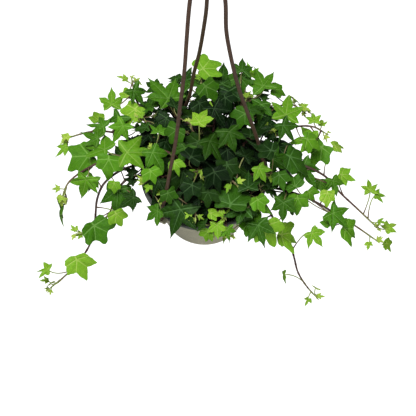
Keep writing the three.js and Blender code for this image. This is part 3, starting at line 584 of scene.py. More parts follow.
def pot_finish(name, greys, roughness):
    """Matt moulded plastic with a fine faint mottling, as if of stone."""
    finish = Finish(name, roughness)
    cloud = finish.object_noise(45, 5, 0.6)
    grain = finish.object_noise(700, 3, 0.7)
    specks = finish.ramp(grain, POT_SPECKS)
    finish.colour(finish.blend(1.0, finish.ramp(cloud, greys), specks, "MULTIPLY"))
    finish.relief(grain, 0.12, 0.0002)
    return finish.material


def grainy_finish(name, stops, scale, roughness, strength, distance):
    """A material whose colours are mottled by one noise, which also roughens it."""
    finish = Finish(name, roughness)
    grain = finish.object_noise(scale, 6, 0.65)
    finish.colour(finish.ramp(grain, stops))
    finish.relief(grain, strength, distance)
    return finish.material


LEAF_FACE = leaf_finish("ivy_leaf_face", LEAF_GREENS, VEIN_GREENS, 0.42, -LEAF_RELIEF_DEPTH)
LEAF_BACK = leaf_finish("ivy_leaf_back", BACK_GREENS, BACK_VEINS, 0.62, LEAF_RELIEF_DEPTH)
STEM = stem_finish()
POT_OUTER = pot_finish("pot_outer_plastic", POT_OUTER_GREYS, 0.55)
POT_INNER = pot_finish("pot_inner_plastic", POT_INNER_GREYS, 0.45)
HANGER_PLASTIC = grainy_finish("hanger_plastic", HANGER_BROWNS, 300, 0.42, 0.12, 0.0002)
SOIL = grainy_finish("potting_mix", SOIL_BROWNS, 420, 0.95, 0.9, 0.001)
BARK = grainy_finish("bark_bit", BARK_BROWNS, 500, 0.9, 0.6, 0.0004)
PERLITE = grainy_finish("perlite_bit", PERLITE_WHITES, 600, 0.85, 0.6, 0.0004)


# Making pieces

def piece(name, form, finishes, slot_name, *nodes, smooth=True):
    """A finished shape as an object that rides on the part and stands for some of its solids."""
    mesh = bpy.data.meshes.new(name)
    form.to_mesh(mesh)
    form.free()
    for finish in finishes:
        mesh.materials.append(finish)
    if smooth:
        mesh.polygons.foreach_set("use_smooth", [True] * len(mesh.polygons))
    made = bpy.data.objects.new(name, mesh)
    bpy.context.scene.collection.objects.link(made)
    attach(made, "root")
    if nodes:
        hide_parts(*nodes)
    return made


def edges_at(verts):
    """The edges at some corners, each once and always in the same order."""
    return list(dict.fromkeys(edge for vertex in verts for edge in vertex.link_edges))


def faces_at(verts):
    """The faces at some corners, each once and always in the same order."""
    return list(dict.fromkeys(face for vertex in verts for face in vertex.link_faces))


def ring_places(centres):
    """A place for each ring of a tube, turned as little as can be from ring to ring."""
    places = []
    aside = None
    for i, centre in enumerate(centres):
        ahead = (centres[min(i + 1, len(centres) - 1)] - centres[max(i - 1, 0)]).normalized()
        if aside is None:
            aside = ahead.orthogonal().normalized()
        aside = (aside - ahead * aside.dot(ahead)).normalized()
        turn = Matrix((aside, ahead.cross(aside), ahead)).transposed().to_4x4()
        places.append(Matrix.Translation(centre) @ turn)
    return places


def add_tube(form, centres, radii, sides, ages=None, ridge=0.0):
    """Extrudes a ring along its centres, and closes both ends."""
    places = ring_places(centres)
    age_layer = form.verts.layers.float.get("age")
    ring = bmesh.ops.create_circle(form, segments=sides, radius=1.0, cap_ends=True)["verts"]
    for vertex in ring:
        turn = math.atan2(vertex.co.y, vertex.co.x)
        vertex.co *= 1 + ridge * (math.cos(STRAND_RIDGES * turn) - 1) / 2
    bmesh.ops.transform(form, matrix=places[0] @ Matrix.Scale(radii[0], 4), verts=ring)
    faces = faces_at(ring)
    edges = edges_at(ring)
    if ages:
        for vertex in ring:
            vertex[age_layer] = ages[0]
    for i in range(1, len(places)):
        grown = bmesh.ops.extrude_edge_only(form, edges=edges)["geom"]
        ring = [part for part in grown if isinstance(part, bmesh.types.BMVert)]
        faces += [part for part in grown if isinstance(part, bmesh.types.BMFace)]
        held = set(ring)
        edges = [part for part in grown if isinstance(part, bmesh.types.BMEdge)
                 and part.verts[0] in held and part.verts[1] in held]
        step = places[i] @ Matrix.Scale(radii[i] / radii[i - 1], 4) @ places[i - 1].inverted()
        bmesh.ops.transform(form, matrix=step, verts=ring)
        if ages:
            for vertex in ring:
                vertex[age_layer] = ages[i]
    faces += bmesh.ops.contextual_create(form, geom=edges)["faces"]
    bmesh.ops.recalc_face_normals(form, faces=faces)


def add_turned(form, x, y, z, outline):
    """A small upright round shape over a place, by its heights and radii in millimetres."""
    centres = [at(x, y, z + height) for height, _ in outline]
    add_tube(form, centres, [radius * MM for _, radius in outline], 20)


def add_spun(form, outline, steps, height=0):
    """Spins an outline of radii and heights, in millimetres, round the upright axis."""
    start = len(form.verts)
    verts = [form.verts.new(at(radius, 0, height + z)) for radius, z in outline]
    edges = [form.edges.new(pair) for pair in zip(verts, verts[1:])]
    bmesh.ops.spin(form, geom=verts + edges, cent=at(0, 0, 0), axis=(0, 0, 1), angle=2 * math.pi,
                   steps=steps, use_merge=True, use_duplicate=False)
    form.verts.ensure_lookup_table()
    bmesh.ops.remove_doubles(form, verts=form.verts[start:], dist=0.01 * MM)
    form.verts.ensure_lookup_table()
    faces = faces_at(form.verts[start:])
    bmesh.ops.recalc_face_normals(form, faces=faces)
    return faces


def rounded(centre, radius, first, last, steps):
    """Points of an arc of radius and height, by its angles in degrees."""
    return [(centre[0] + radius * math.cos(math.radians(mix(first, last, i / steps))),
             centre[1] + radius * math.sin(math.radians(mix(first, last, i / steps))))
            for i in range(steps + 1)]


# Pot

def inner_radius(z):
    """Radius of the inside of the wall at a height."""
    share = (z + POT_HEIGHT - BASE_ROUND) / (POT_HEIGHT - BASE_ROUND - RIM_DEPTH)
    return mix(BASE_RADIUS, NECK_RADIUS, share) - WALL


def pot_outline(floor):
    """The pot's outline from the middle of its underside, over the rim, to the middle of its floor."""
    under = -POT_HEIGHT + FOOT_RECESS
    outline = [(0, under), (12, under), (24, under), (FOOT_INNER_RADIUS, under),
               (FOOT_INNER_RADIUS + 0.6, under - 0.3),
               (FOOT_INNER_RADIUS + 1.2, -POT_HEIGHT + 0.3),
               (FOOT_INNER_RADIUS + 1.9, -POT_HEIGHT)]
    outline += rounded((BASE_RADIUS - BASE_ROUND, -POT_HEIGHT + BASE_ROUND), BASE_ROUND, -90, -4, 9)
    outline += [(mix(BASE_RADIUS, NECK_RADIUS, share), mix(-POT_HEIGHT + BASE_ROUND, -RIM_DEPTH, share))
                for share in (0.15, 0.4, 0.65, 0.9, 0.985)]
    outline += [(NECK_RADIUS + 0.5, -RIM_DEPTH - 0.1)]
    outline += rounded((RIM_RADIUS - LIP_ROUND, -RIM_DEPTH + LIP_ROUND), LIP_ROUND, -90, 0, 3)
    outline += rounded((RIM_RADIUS - RIM_ROUND, -RIM_ROUND), RIM_ROUND, 0, 90, 4)
    outline += rounded((NECK_RADIUS + 0.1, -RIM_ROUND), RIM_ROUND, 90, 172, 4)
    outline += [(inner_radius(z), z) for z in (-RIM_DEPTH, -20, -40, -60, -80, -POT_HEIGHT + BASE_ROUND)]
    outline += [(BASE_RADIUS - BASE_ROUND * 0.75, floor), (24, floor), (12, floor), (0, floor)]
    return outline


def make_pot():
    """The pot's shell with its lugs and drain holes, its inside a plastic of another tone."""
    floor = -POT_HEIGHT + FOOT_RECESS + WALL
    body = bmesh.new()
    for face in add_spun(body, pot_outline(floor), POT_STEPS):
        middle = face.calc_center_median() / MM
        height = middle.z + HANG_DROP
        reach = math.hypot(middle.x, middle.y)
        top = height > -RIM_DEPTH - 0.05
        inner = reach < inner_radius(height) + 0.6 * WALL and height > floor - 0.5
        face.material_index = 1 if top or inner else 0
        face.smooth = True
    form = with_drains(body, floor)
    for bearing in LUG_BEARINGS:
        add_lug(form, bearing)
    piece("pot_shell", form, (POT_OUTER, POT_INNER), "pot", "pot", smooth=False)


def add_lug(form, bearing):
    """A flat tab with rounded corners, and a slot that the strand's foot passes through."""
    sides = 32
    middle = Vector(polar(bearing, FOOT_RADIUS, -RIM_DEPTH / 2 + LUG_THICKNESS / 2))
    turn = Matrix.Rotation(math.radians(bearing), 4, "Z")
    place = Matrix.Translation(at(*middle)) @ turn
    slot = bmesh.ops.create_circle(form, segments=sides, radius=LUG_SLOT_RADIUS * MM)["verts"]
    edge = bmesh.ops.create_circle(form, segments=sides, radius=1.0)["verts"]
    for vertex in edge:
        x, y = vertex.co.x, vertex.co.y
        square = (abs(x) ** LUG_SQUARENESS + abs(y) ** LUG_SQUARENESS) ** (1 / LUG_SQUARENESS)
        x, y = x / square, y / square
        reach = LUG_OUTER - FOOT_RADIUS if x > 0 else FOOT_RADIUS - LUG_INNER
        vertex.co = Vector((x * reach, y * LUG_WIDTH / 2, 0)) * MM
    faces = bmesh.ops.bridge_loops(form, edges=edges_at(slot + edge))["faces"]
    made = bmesh.ops.extrude_face_region(form, geom=faces)["geom"]
    lower = [part for part in made if isinstance(part, bmesh.types.BMVert)]
    bmesh.ops.translate(form, vec=(0, 0, -LUG_THICKNESS * MM), verts=lower)
    whole = slot + edge + lower
    rims = [e for e in edges_at(whole) if len(e.link_faces) == 2 and e.calc_face_angle(0) > 0.9]
    bevelled = bmesh.ops.bevel(form, geom=rims, offset=LUG_EDGE_ROUND * MM, affect="EDGES", segments=2,
                               profile=0.5, material=-1)["verts"]
    whole = list(dict.fromkeys(v for v in whole + bevelled if v.is_valid))
    bmesh.ops.transform(form, matrix=place, verts=whole)
    bmesh.ops.recalc_face_normals(form, faces=faces_at(whole))
    for face in faces_at(whole):
        face.smooth = True


def with_drains(body, floor):
    """The pot's body with its drain holes. It is cut before the lugs are there, because a cut through
    shells that overlap may lose one of them."""
    cutter = bmesh.new()
    for i in range(DRAIN_HOLES):
        place = polar(i / DRAIN_HOLES * 360 + DRAIN_BEARING, DRAIN_RING, floor)
        bmesh.ops.create_cone(cutter, cap_ends=True, segments=24, radius1=DRAIN_RADIUS * MM,
                              radius2=DRAIN_RADIUS * MM, depth=8 * WALL * MM,
                              matrix=Matrix.Translation(at(*place)))
    solids = []
    for name, shape in (("pot_body", body), ("drain_cutter", cutter)):
        mesh = bpy.data.meshes.new(name)
        shape.to_mesh(mesh)
        shape.free()
        solids.append(bpy.data.objects.new(name, mesh))
        bpy.context.scene.collection.objects.link(solids[-1])
    pot, holes = solids
    for finish in (POT_OUTER, POT_INNER):
        pot.data.materials.append(finish)
    cut = pot.modifiers.new("drains", "BOOLEAN")
    cut.operation = "DIFFERENCE"
    cut.solver = "EXACT"
    cut.object = holes
    bpy.context.view_layer.update()
    drilled = bpy.data.meshes.new_from_object(pot.evaluated_get(bpy.context.evaluated_depsgraph_get()))
    form = bmesh.new()
    form.from_mesh(drilled)
    for mesh in (pot.data, holes.data, drilled):
        bpy.data.meshes.remove(mesh)
    return form


# Soil

def soil_height(x, y):
    """Height of the soil's lumpy top, in millimetres: slow waves with crumbs of two sizes on them."""
    lump = math.sin(x * 0.21 + 1.3) * math.cos(y * 0.17) + 0.6 * math.sin(x * 0.09 - y * 0.31)
    crumb = sum(noise.noise(Vector((x, y, level)) * fineness) * height
                for level, fineness, height in SOIL_CRUMBS)
    return SOIL_TOP + SOIL_LUMP * 0.6 * lump + crumb


def soil_edge(z):
    """Radius of the soil at a height, which leaves a gap to the wall."""
    return inner_radius(z) - SOIL_GAP


def make_soil():
    """The body of the potting mix, with its top in rings fine enough to be lumpy."""
    bottom = -POT_HEIGHT + FOOT_RECESS + WALL + CLEARANCE
    edge = soil_edge(SOIL_TOP)
    outline = [(0, bottom), (BASE_RADIUS - BASE_ROUND * 0.75 - 1.2, bottom),
               (soil_edge(-POT_HEIGHT + BASE_ROUND) - 0.4, -POT_HEIGHT + BASE_ROUND + CLEARANCE),
               (soil_edge(SOIL_TOP - 6), SOIL_TOP - 6)]
    outline += [(edge * (1 - i / SOIL_RINGS), SOIL_TOP) for i in range(SOIL_RINGS + 1)]
    form = bmesh.new()
    add_spun(form, outline, SOIL_STEPS)
    for vertex in form.verts:
        x, y, z = vertex.co / MM
        if z + HANG_DROP > SOIL_TOP - 1:
            vertex.co.z = (soil_height(x, y) - HANG_DROP) * MM
    piece("potting_mix", form, (SOIL,), "soil", "soil")


def add_bits(form, draw, count, sizes, flat, finish):
    """Scatters small angular bits over the soil."""
    for _ in range(count):
        bearing = draw.uniform(0, 360)
        radius = soil_edge(SOIL_TOP) * math.sqrt(draw.random()) * 0.985
        x, y, _ = polar(bearing, radius, 0)
        size = mix(sizes[0], sizes[1], draw.random() ** 2)
        squash = [draw.uniform(0.7, 1.2), draw.uniform(0.6, 1.0), draw.uniform(*flat)]
        turn = Matrix.Rotation(draw.uniform(0, 6.28), 4, "Z")
        turn = turn @ Matrix.Rotation(draw.uniform(-0.5, 0.5), 4, "X")
        place = Matrix.Translation(at(x, y, soil_height(x, y) + 0.2 * size))
        shape = Matrix.Diagonal([s * size * MM for s in squash]).to_4x4()
        made = bmesh.ops.create_icosphere(form, subdivisions=1, radius=1.0,
                                          matrix=place @ turn @ shape)["verts"]
        for vertex in made:
            vertex.co += Vector([draw.uniform(-0.22, 0.22) * size * MM for _ in range(3)])
        for face in faces_at(made):
            face.material_index = finish


def make_soil_bits():
    """Loose crumbs, bits of bark and grains of perlite, strewn over the soil."""
    draw = random.Random(7)
    form = bmesh.new()
    for finish, bits in enumerate(SOIL_BITS):
        add_bits(form, draw, *bits, finish)
    piece("potting_mix_bits", form, (SOIL, BARK, PERLITE), "soil", smooth=False)


# Hanger

def make_hanger():
    """The moulding: three strands with a foot, a stop and a barb each, the hub and the hook."""
    steps = 90
    form = bmesh.new()
    for bearing, route in zip(LUG_BEARINGS, STRAND_ROUTES):
        points = [polar(bearing, FOOT_RADIUS, 4), *route]
        line = Route([at(*point) for point in points])
        radii = [STRAND_OUTER * MM] * (steps + 1)
        add_tube(form, line.spaced(steps), radii, 24, ridge=STRAND_RIDGE_DEPTH)
        for outline in (STRAND_FOOT, STRAND_STOP, STRAND_BARB):
            add_turned(form, *polar(bearing, FOOT_RADIUS, 0), outline)
    add_spun(form, HUB_OUTLINE, 64, HUB_HEIGHT)
    for route in STRAND_ROUTES:
        add_turned(form, *route[-1], HUB_BOSS)
    add_hook(form)
    piece("hanger_moulding", form, (HANGER_PLASTIC,), "hanger", "hanger")


def add_hook(form):
    """An open hook of round wire over the hub, with a rounded end."""
    bend = HOOK_INNER_RADIUS + HOOK_WIRE_RADIUS
    middle = HANG_DROP - HOOK_INNER_RADIUS
    points = [(0, 0, HUB_HEIGHT), (0, 0, HUB_HEIGHT + 8), (2, 0, middle - 1.62 * bend)]
    for angle in range(-48, 206, 23):
        x = bend * math.cos(math.radians(angle))
        points.append((x, 0, middle + bend * math.sin(math.radians(angle))))
    line = Route([at(*point) for point in points])
    steps = 64
    shares = [1] * (steps + 1 - len(HOOK_TIP_RADII)) + list(HOOK_TIP_RADII)
    add_tube(form, line.spaced(steps), [HOOK_WIRE_RADIUS * MM * share for share in shares], 24)


# Ivy leaves

class Leaf:
    """A blade: its junction with the stalk, its own axes, its age, its length and its outline."""

    def __init__(self, junction, along, out, age, size=0.0, outline=()):
        self.junction = junction
        self.out = out.normalized()
        self.along = (along - self.out * along.dot(self.out)).normalized()
        self.left = self.out.cross(self.along)
        self.age = age
        self.size = size
        self.outline = outline

    def world(self, x, y, z):
        return self.junction + self.along * x + self.left * y + self.out * z

    def fan(self, grown=0.0):
        """The blade's ten outline corners in place, grown outwards a little."""
        corners = []
        for corner in self.outline:
            flat = Vector((corner.x, corner.y, 0))
            corner = corner + flat.normalized() * grown
            corners.append(self.world(*corner))
        return corners


def blade_rings(form):
    """Rings of the short edges that join a blade's two faces. Each ring goes round one blade."""
    shorts = {}
    for edge in form.edges:
        length = edge.calc_length() / MM
        if BLADE_THIN - BLADE_TOLERANCE < length < BLADE_THICK + BLADE_TOLERANCE:
            top, bottom = sorted(edge.verts, key=lambda v: -v.co.z)
            shorts.setdefault(top, []).append(bottom)
    pairs = [(top, bottom) for top, bottoms in shorts.items() for bottom in bottoms]
    ring_of = {pair: {pair} for pair in pairs}
    for top, bottom in pairs:
        lean = (top.co - bottom.co).normalized()
        for edge in top.link_edges:
            beside = edge.other_vert(top)
            for under in shorts.get(beside, ()):
                other = (beside, under)
                parallel = (beside.co - under.co).normalized().dot(lean) > 0.999
                if parallel and ring_of[other] is not ring_of[(top, bottom)]:
                    joined = ring_of[other] | ring_of[(top, bottom)]
                    for pair in joined:
                        ring_of[pair] = joined
    rings = []
    for ring in ring_of.values():
        if len(ring) >= len(MAP_ANGLES) - 1 and not any(ring is kept for kept in rings):
            rings.append(ring)
    return rings


def read_leaf(ring):
    """The leaf whose rim is a ring of short edges, or nothing where the ring isn't a whole leaf's."""
    tops = [top for top, _ in ring]
    out = sum((top.co - bottom.co for top, bottom in ring), Vector()).normalized()
    thickness = sum((top.co - bottom.co).dot(out) for top, bottom in ring) / len(ring)
    counts = {}
    for top in tops:
        for edge in top.link_edges:
            beside = edge.other_vert(top)
            if beside not in tops:
                counts[beside] = counts.get(beside, 0) + 1
    junction = max(counts, key=counts.get)
    tops = [top for top in tops if any(e.other_vert(top) is junction for e in top.link_edges)]
    centre = junction.co.copy()
    tip = max(tops, key=lambda top: (top.co - centre).length)
    age = clamp((thickness / MM - BLADE_THIN) / (BLADE_THICK - BLADE_THIN))
    leaf = Leaf(centre, tip.co - centre, out, age)
    ways = [top.co - centre for top in tops]
    corners = [Vector((way.dot(leaf.along), way.dot(leaf.left), way.dot(leaf.out))) for way in ways]
    corners.sort(key=lambda c: math.atan2(c.y, c.x) % (2 * math.pi - 1e-6))
    leaf.size = corners[0].length
    if len(corners) == len(MAP_ANGLES) - 1:
        corners.insert(NOTCH, Vector((-MAP_REACHES[NOTCH] * leaf.size, 0, 0)))
    leaf.outline = corners
    return leaf if len(corners) == len(MAP_ANGLES) else None


def read_leaves(node):
    """The leaves of a solid vine, found by the rims of their blades."""
    form = bmesh.new()
    form.from_mesh(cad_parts[node].data)
    bmesh.ops.remove_doubles(form, verts=form.verts, dist=1e-6)
    form.verts.index_update()
    rings = [sorted(ring, key=lambda pair: pair[0].index) for ring in blade_rings(form)]
    leaves = [leaf for leaf in map(read_leaf, rings) if leaf]
    form.free()
    leaves.sort(key=lambda leaf: tuple(round(place, 6) for place in leaf.junction))
    return leaves


def leaf_template(cuts):
    """A flat fan of ten sectors, cut into small triangles, with the shares of its sector's two corners
    that make up each spot."""
    form = bmesh.new()
    bmesh.ops.create_circle(form, cap_ends=True, cap_tris=True, segments=10, radius=1.0)
    bmesh.ops.rotate(form, verts=form.verts, cent=(0, 0, 0), matrix=Matrix.Rotation(math.pi / 2, 3, "Z"))
    bmesh.ops.subdivide_edges(form, edges=form.edges, cuts=cuts, use_grid_fill=True)
    bmesh.ops.recalc_face_normals(form, faces=form.faces)
    if form.faces[0].normal.z < 0:
        bmesh.ops.reverse_faces(form, faces=form.faces)
    corners = [Vector((math.cos(i * math.pi / 5), math.sin(i * math.pi / 5))) for i in range(10)]
    shares = []
    for vertex in form.verts:
        x, y = vertex.co.xy
        if math.hypot(x, y) < 1e-4:
            shares.append((0, 0.0, 0.0))
            continue
        turn = math.atan2(y, x) % (2 * math.pi)
        sector = int(turn / (math.pi / 5) + 1e-4) % 10
        a, b = corners[sector], corners[(sector + 1) % 10]
        area = a.x * b.y - a.y * b.x
        shares.append((sector, (x * b.y - y * b.x) / area, (a.x * y - a.y * x) / area))
    uv = form.loops.layers.uv.new("leaf")
    chart = [(reach * math.cos(math.radians(angle)), reach * math.sin(math.radians(angle)))
             for angle, reach in zip(MAP_ANGLES, MAP_REACHES)]
    form.verts.index_update()
    for face in form.faces:
        for loop in face.loops:
            sector, near, far = shares[loop.vert.index]
            a, b = chart[sector], chart[(sector + 1) % 10]
            loop[uv].uv = (0.5 + 0.5 * (a[0] * near + b[0] * far), 0.5 + 0.5 * (a[1] * near + b[1] * far))
    for edge in form.edges:
        edge.smooth = not edge.is_boundary
    mesh = bpy.data.meshes.new(f"leaf_template_{cuts}")
    form.to_mesh(mesh)
    form.free()
    return mesh, shares


def blade_spot(leaf, habit, sector, near, far):
    """Where a spot of the template lies on a leaf: its outline's sides bow out and wave, and the face
    between the main veins swells a little above them."""
    reach = near + far
    if reach == 0:
        return Vector()
    share = far / reach
    a, b = habit["outline"][sector], habit["outline"][(sector + 1) % 10]
    side = b - a
    normal = Vector((side.y, -side.x, 0))
    past = share if sector in VEIN_CORNERS else 1 - share
    if sector in BASE_SIDES:
        belly = SIDE_BOWS[sector] * math.sin(math.pi * past)
    else:
        full = 6.75 * past * past * (1 - past)
        drawn = 9.5 * past * (1 - past) ** 3
        belly = SIDE_BOWS[sector] * habit["bow"] * full - habit["point"] * drawn
    spot = a + side * share + normal * belly
    spot.z = mix(a.z, b.z, share * share * (3 - 2 * share))
    edge = 1 + habit["ruffle"] * math.sin(RUFFLE_BEAT * (sector + share) + habit["phase"]) * reach ** 4
    wave = habit["wave"] * math.sin(habit["beat"] * (sector + share) + habit["phase"]) * reach ** 3
    swell = math.sin(math.pi * clamp(past) * 0.5)
    puff = habit["puff"] * swell * math.sin(math.pi * min(1, reach * 0.92)) - habit["puff"] * 0.35
    x, y = spot.x * reach * edge / leaf.size, spot.y * reach * edge / leaf.size
    bend = habit["twist"] * x * y + habit["cup"] * abs(y) ** 1.5 - habit["droop"] * (x * x + y * y)
    height = spot.z * reach ** 1.12 + leaf.size * (wave + puff * min(1, reach * 4) + bend)
    return Vector((x * leaf.size, y * leaf.size, height))


def leaf_habit(leaf, draw, strength):
    """How far a leaf's dips reach in and its lobes are drawn out to points, and how its face waves, swells
    and bends."""
    outline = []
    for i, corner in enumerate(leaf.outline):
        share = draw.uniform(*(LOBE_SHARES if i in VEIN_CORNERS else DIP_SHARES))
        outline.append(Vector((corner.x * share, corner.y * share, corner.z)))
    return {
        "outline": outline,
        "bow": draw.uniform(*BOWS),
        "point": draw.uniform(*POINTS),
        "wave": draw.uniform(*WAVES) * strength,
        "ruffle": draw.uniform(*RUFFLES),
        "beat": draw.choice((2, 3, 4)) * math.pi / 5 * 2,
        "phase": draw.uniform(0, 6.28),
        "puff": draw.uniform(*PUFFS) * strength,
        "twist": draw.uniform(*TWISTS) * strength,
        "cup": draw.uniform(*CUPS) * strength,
        "droop": draw.uniform(*DROOPS) * strength,
    }


def painted_outer_light(junction):
    """Painted light: by what share a leaf that stands out from the mound is coloured younger and paler,
    most on the right.
    """
    x, y = junction.x / MM, junction.y / MM
    out = clamp((math.hypot(x, y) - PAINTED_LIGHT_RADIUS) / PAINTED_LIGHT_RISE)
    return out * (PAINTED_LIGHT_LEFT if x < 0 else PAINTED_LIGHT_RIGHT)


def painted_centre_shade(leaf):
    """Painted shade: the share of its colour that an old leaf keeps that grows in the dense middle of the
    mound.
    """
    inner = 1 - clamp((math.hypot(leaf.junction.x, leaf.junction.y) / MM - DEEP_RADIUS) / DEEP_FADE)
    return 1 - DEEP_PAINTED_SHADE * inner * clamp((leaf.age - DEEP_AGE) / DEEP_AGE_RISE)


def add_leaf(form, leaf, template, draw, crowd, shade=1.0):
    """Lays the template's mesh out as this leaf, bent as much as its neighbours leave room for, with its
    age, tone and painted shade.
    """
    mesh, shares = template
    start = len(form.verts)
    form.from_mesh(mesh)
    form.verts.ensure_lookup_table()
    age_layer = form.verts.layers.float["age"]
    tone_layer = form.verts.layers.float["tone"]
    shade_layer = form.verts.layers.float["shade"]
    faces = [tuple(polygon.vertices) for polygon in mesh.polygons]
    for strength in BENDS:
        habit = leaf_habit(leaf, draw, strength)
        spots = [leaf.world(*blade_spot(leaf, habit, *share)) for share in shares]
        skin = BVHTree.FromPolygons(spots, faces)
        if crowd.blade_clear(leaf, skin):
            break
    crowd.keep(leaf, skin)
    tone = draw.random()
    # Painted light: a leaf that stands out from the mound takes a younger, paler colour
    age = clamp(leaf.age * (1 - painted_outer_light(leaf.junction)) + draw.uniform(-0.05, 0.05))
    for i, spot in enumerate(spots):
        vertex = form.verts[start + i]
        vertex.co = spot
        vertex[age_layer] = age
        vertex[tone_layer] = tone
        # The painted shade that darkens the leaf's colour
        vertex[shade_layer] = shade


# Stems and stalks

def stem_nodes(route):
    """The solid stem's joints with its stalks, and the share of the stem's length at each."""
    length = route.length / MM
    steps = math.floor(length / STEM_STEP + 0.5) + 2
    centres = route.spaced(steps)
    count = math.floor(length / NODE_SPACING + 0.5)
    nodes = []
    for i in range(count + 1):
        share = min(i / count, 1 - TIP_GAP / length)
        step = min(int(share * steps), steps - 1)
        point = centres[step].lerp(centres[step + 1], share * steps - step)
        height = point.z / MM + HANG_DROP
        if height > SOIL_TOP + LOWEST_NODE or math.hypot(point.x, point.y) > RIM_RADIUS * MM:
            nodes.append((point, share))
    return nodes


def stalk_bend(start, end, leaf):
    """The point that a stalk's curve is drawn towards, so that it meets the blade from below."""
    arrival = (leaf.along * 0.3 + leaf.out * 0.95).normalized()
    return end - arrival * 0.4 * (end - start).length


def curve_point(start, bend, end, share):
    return start.lerp(bend, share).lerp(bend.lerp(end, share), share)


def stalk_start(leaf, nodes, taken, skin):
    """The joint that the solid stalk of a leaf comes from: the one whose stalk lies in the solid."""
    meeting = leaf.outline[NOTCH] * 0.45 + leaf.outline[NOTCH - 1] * 0.14
    thickness = mix(BLADE_THIN, BLADE_THICK, leaf.age) * MM
    end = leaf.world(meeting.x, meeting.y, meeting.z - 0.55 * thickness)
    best, least = None, math.inf
    for index, (start, _) in enumerate(nodes):
        length = (end - start).length
        if index in taken or length > LONGEST_STALK * MM:
            continue
        joints = [start, end]
        if length > STRAIGHT_STALK * MM:
            joints.insert(1, curve_point(start, stalk_bend(start, end, leaf), end, 0.5))
        gaps = [skin.find_nearest(first.lerp(second, share))[3]
                for first, second in zip(joints, joints[1:]) for share in (0.2, 0.35, 0.5, 0.65, 0.8)]
        gap = sum(gaps) / len(gaps)
        if gap < least:
            best, least = index, gap
    if best is None:
        best = min(range(len(nodes)), key=lambda index: (nodes[index][0] - end).length)
    return best


def add_stem(form, route, tip_age, hardening):
    """A stem that thins towards its tip, swells at its joints and pales to its tip's age."""
    length = route.length
    steps = max(12, int(length / (STEM_PART * MM)))
    radii, ages, centres = [], [], []
    for i in range(steps + 1):
        share = i / steps
        joint = math.cos(2 * math.pi * share * length / (2 * NODE_SPACING * MM))
        swell = 1 + NODE_SWELL * max(0, joint) ** 8
        radii.append(mix(STEM_RADIUS, STEM_TIP_RADIUS, share ** 1.3) * MM * swell)
        ages.append(clamp(mix(1.0, tip_age, share ** hardening)))
        centres.append(route.along(share))
    radii[-1] *= 0.4
    add_tube(form, centres, radii, STEM_SIDES, ages)


def stalk_end(leaf, depth):
    """Where a stalk runs into its blade, a little behind the junction and below the face."""
    return leaf.world(-0.03 * leaf.size, 0, -depth * MM)


def add_stalk(form, start, leaf, base_age):
    """A stalk that leaves the stem with a swollen base and runs into the blade's junction from below."""
    end = stalk_end(leaf, 0.3)
    bend = stalk_bend(start, end, leaf)
    steps = max(5, min(14, int((end - start).length / (STEM_PART * MM))))
    shares = [i / steps for i in range(steps + 1)]
    centres = [curve_point(start, bend, end, share) for share in shares]
    radius = STALK_RADIUS * MM * clamp(leaf.size / (30 * MM), 0.72, 1.1)
    radii = [radius * (1 + 0.55 * max(0, 1 - 6 * share) + 0.15 * share) for share in shares]
    radii[-1] = radius * 0.7
    blade_age = mix(*STALK_AGES, leaf.age)
    ages = [mix(base_age, blade_age, min(1, 1.8 * share)) for share in shares]
    add_tube(form, centres, radii, STALK_SIDES, ages)


# Leaves that aren't in the solids: young ones at the growing tips, and old ones under the mound

def small_leaf(junction, bearing, dip, roll, size, age, draw, fold):
    """A plain lobed leaf that points along its bearing, dips, rolls, and folds along its middle."""
    flat = math.cos(math.radians(dip))
    along = Vector((math.cos(math.radians(bearing)) * flat, math.sin(math.radians(bearing)) * flat,
                    -math.sin(math.radians(dip))))
    out = Vector((0, 0, 1)) - along * along.z
    out = Matrix.Rotation(math.radians(roll), 3, along) @ out.normalized()
    reaches = [1, draw.uniform(0.42, 0.5), draw.uniform(0.6, 0.8), 0.4, mix(0.3, 0.48, age), 0.13]
    reaches += reaches[4:0:-1]
    curl = draw.uniform(0.03, 0.14)
    outline = []
    for angle, reach in zip(MAP_ANGLES, reaches):
        turn = math.radians(angle)
        lift = fold * reach * abs(math.sin(turn)) - curl * reach * reach + draw.uniform(-0.03, 0.03)
        outline.append(Vector((reach * math.cos(turn), reach * math.sin(turn), lift)) * size)
    return Leaf(junction, along, out, age, size, outline)


def add_tip(leaf_form, stem_form, route, draw, template, crowd):
    """The growing end of a stem: a pointed bud and a few small pale leaves on thin stalks."""
    end = route.along(1.0)
    ahead = (end - route.along(0.95)).normalized()
    aside = ahead.orthogonal().normalized()
    add_tube(stem_form, [end + ahead * place * MM for place, _, _ in BUD],
             [radius * MM for _, radius, _ in BUD], 8, [age for _, _, age in BUD])
    spin = draw.uniform(0, 360)
    for k, (back, size, reach) in enumerate(TIP_LEAVES):
        start = route.along(1 - back * MM / route.length)
        around = Matrix.Rotation(math.radians(spin + k * TIP_TURN), 3, ahead) @ aside
        lean = (around + ahead * 0.9 + Vector((0, 0, 0.5))).normalized()
        reach = reach * draw.uniform(0.8, 1.25) * MM
        junction = start + lean * reach
        facing = math.degrees(math.atan2(lean.y, lean.x))
        leaf = small_leaf(junction, facing + draw.uniform(-25, 25), draw.uniform(-30, 25),
                          draw.uniform(-30, 30), size * draw.uniform(0.8, 1.2) * MM,
                          mix(0.0, TIP_OLDEST, k / 2), draw, draw.uniform(0.15, 0.45))
        add_leaf(leaf_form, leaf, template, draw, crowd)
        add_stalk(stem_form, start, leaf, TIP_STALK_AGE)


def mound_height(x, y):
    """About how high the top of the mound lies over a spot: lower in front, higher at the back."""
    return 80 - 0.0036 * (x * x + y * y) - 0.35 * max(0, -y - 20) + 0.2 * max(0, y - 30)


def solid_tree(mesh):
    """A mesh's faces, ready to be asked what is near."""
    return BVHTree.FromPolygons([v.co.copy() for v in mesh.vertices],
                                [tuple(p.vertices) for p in mesh.polygons])


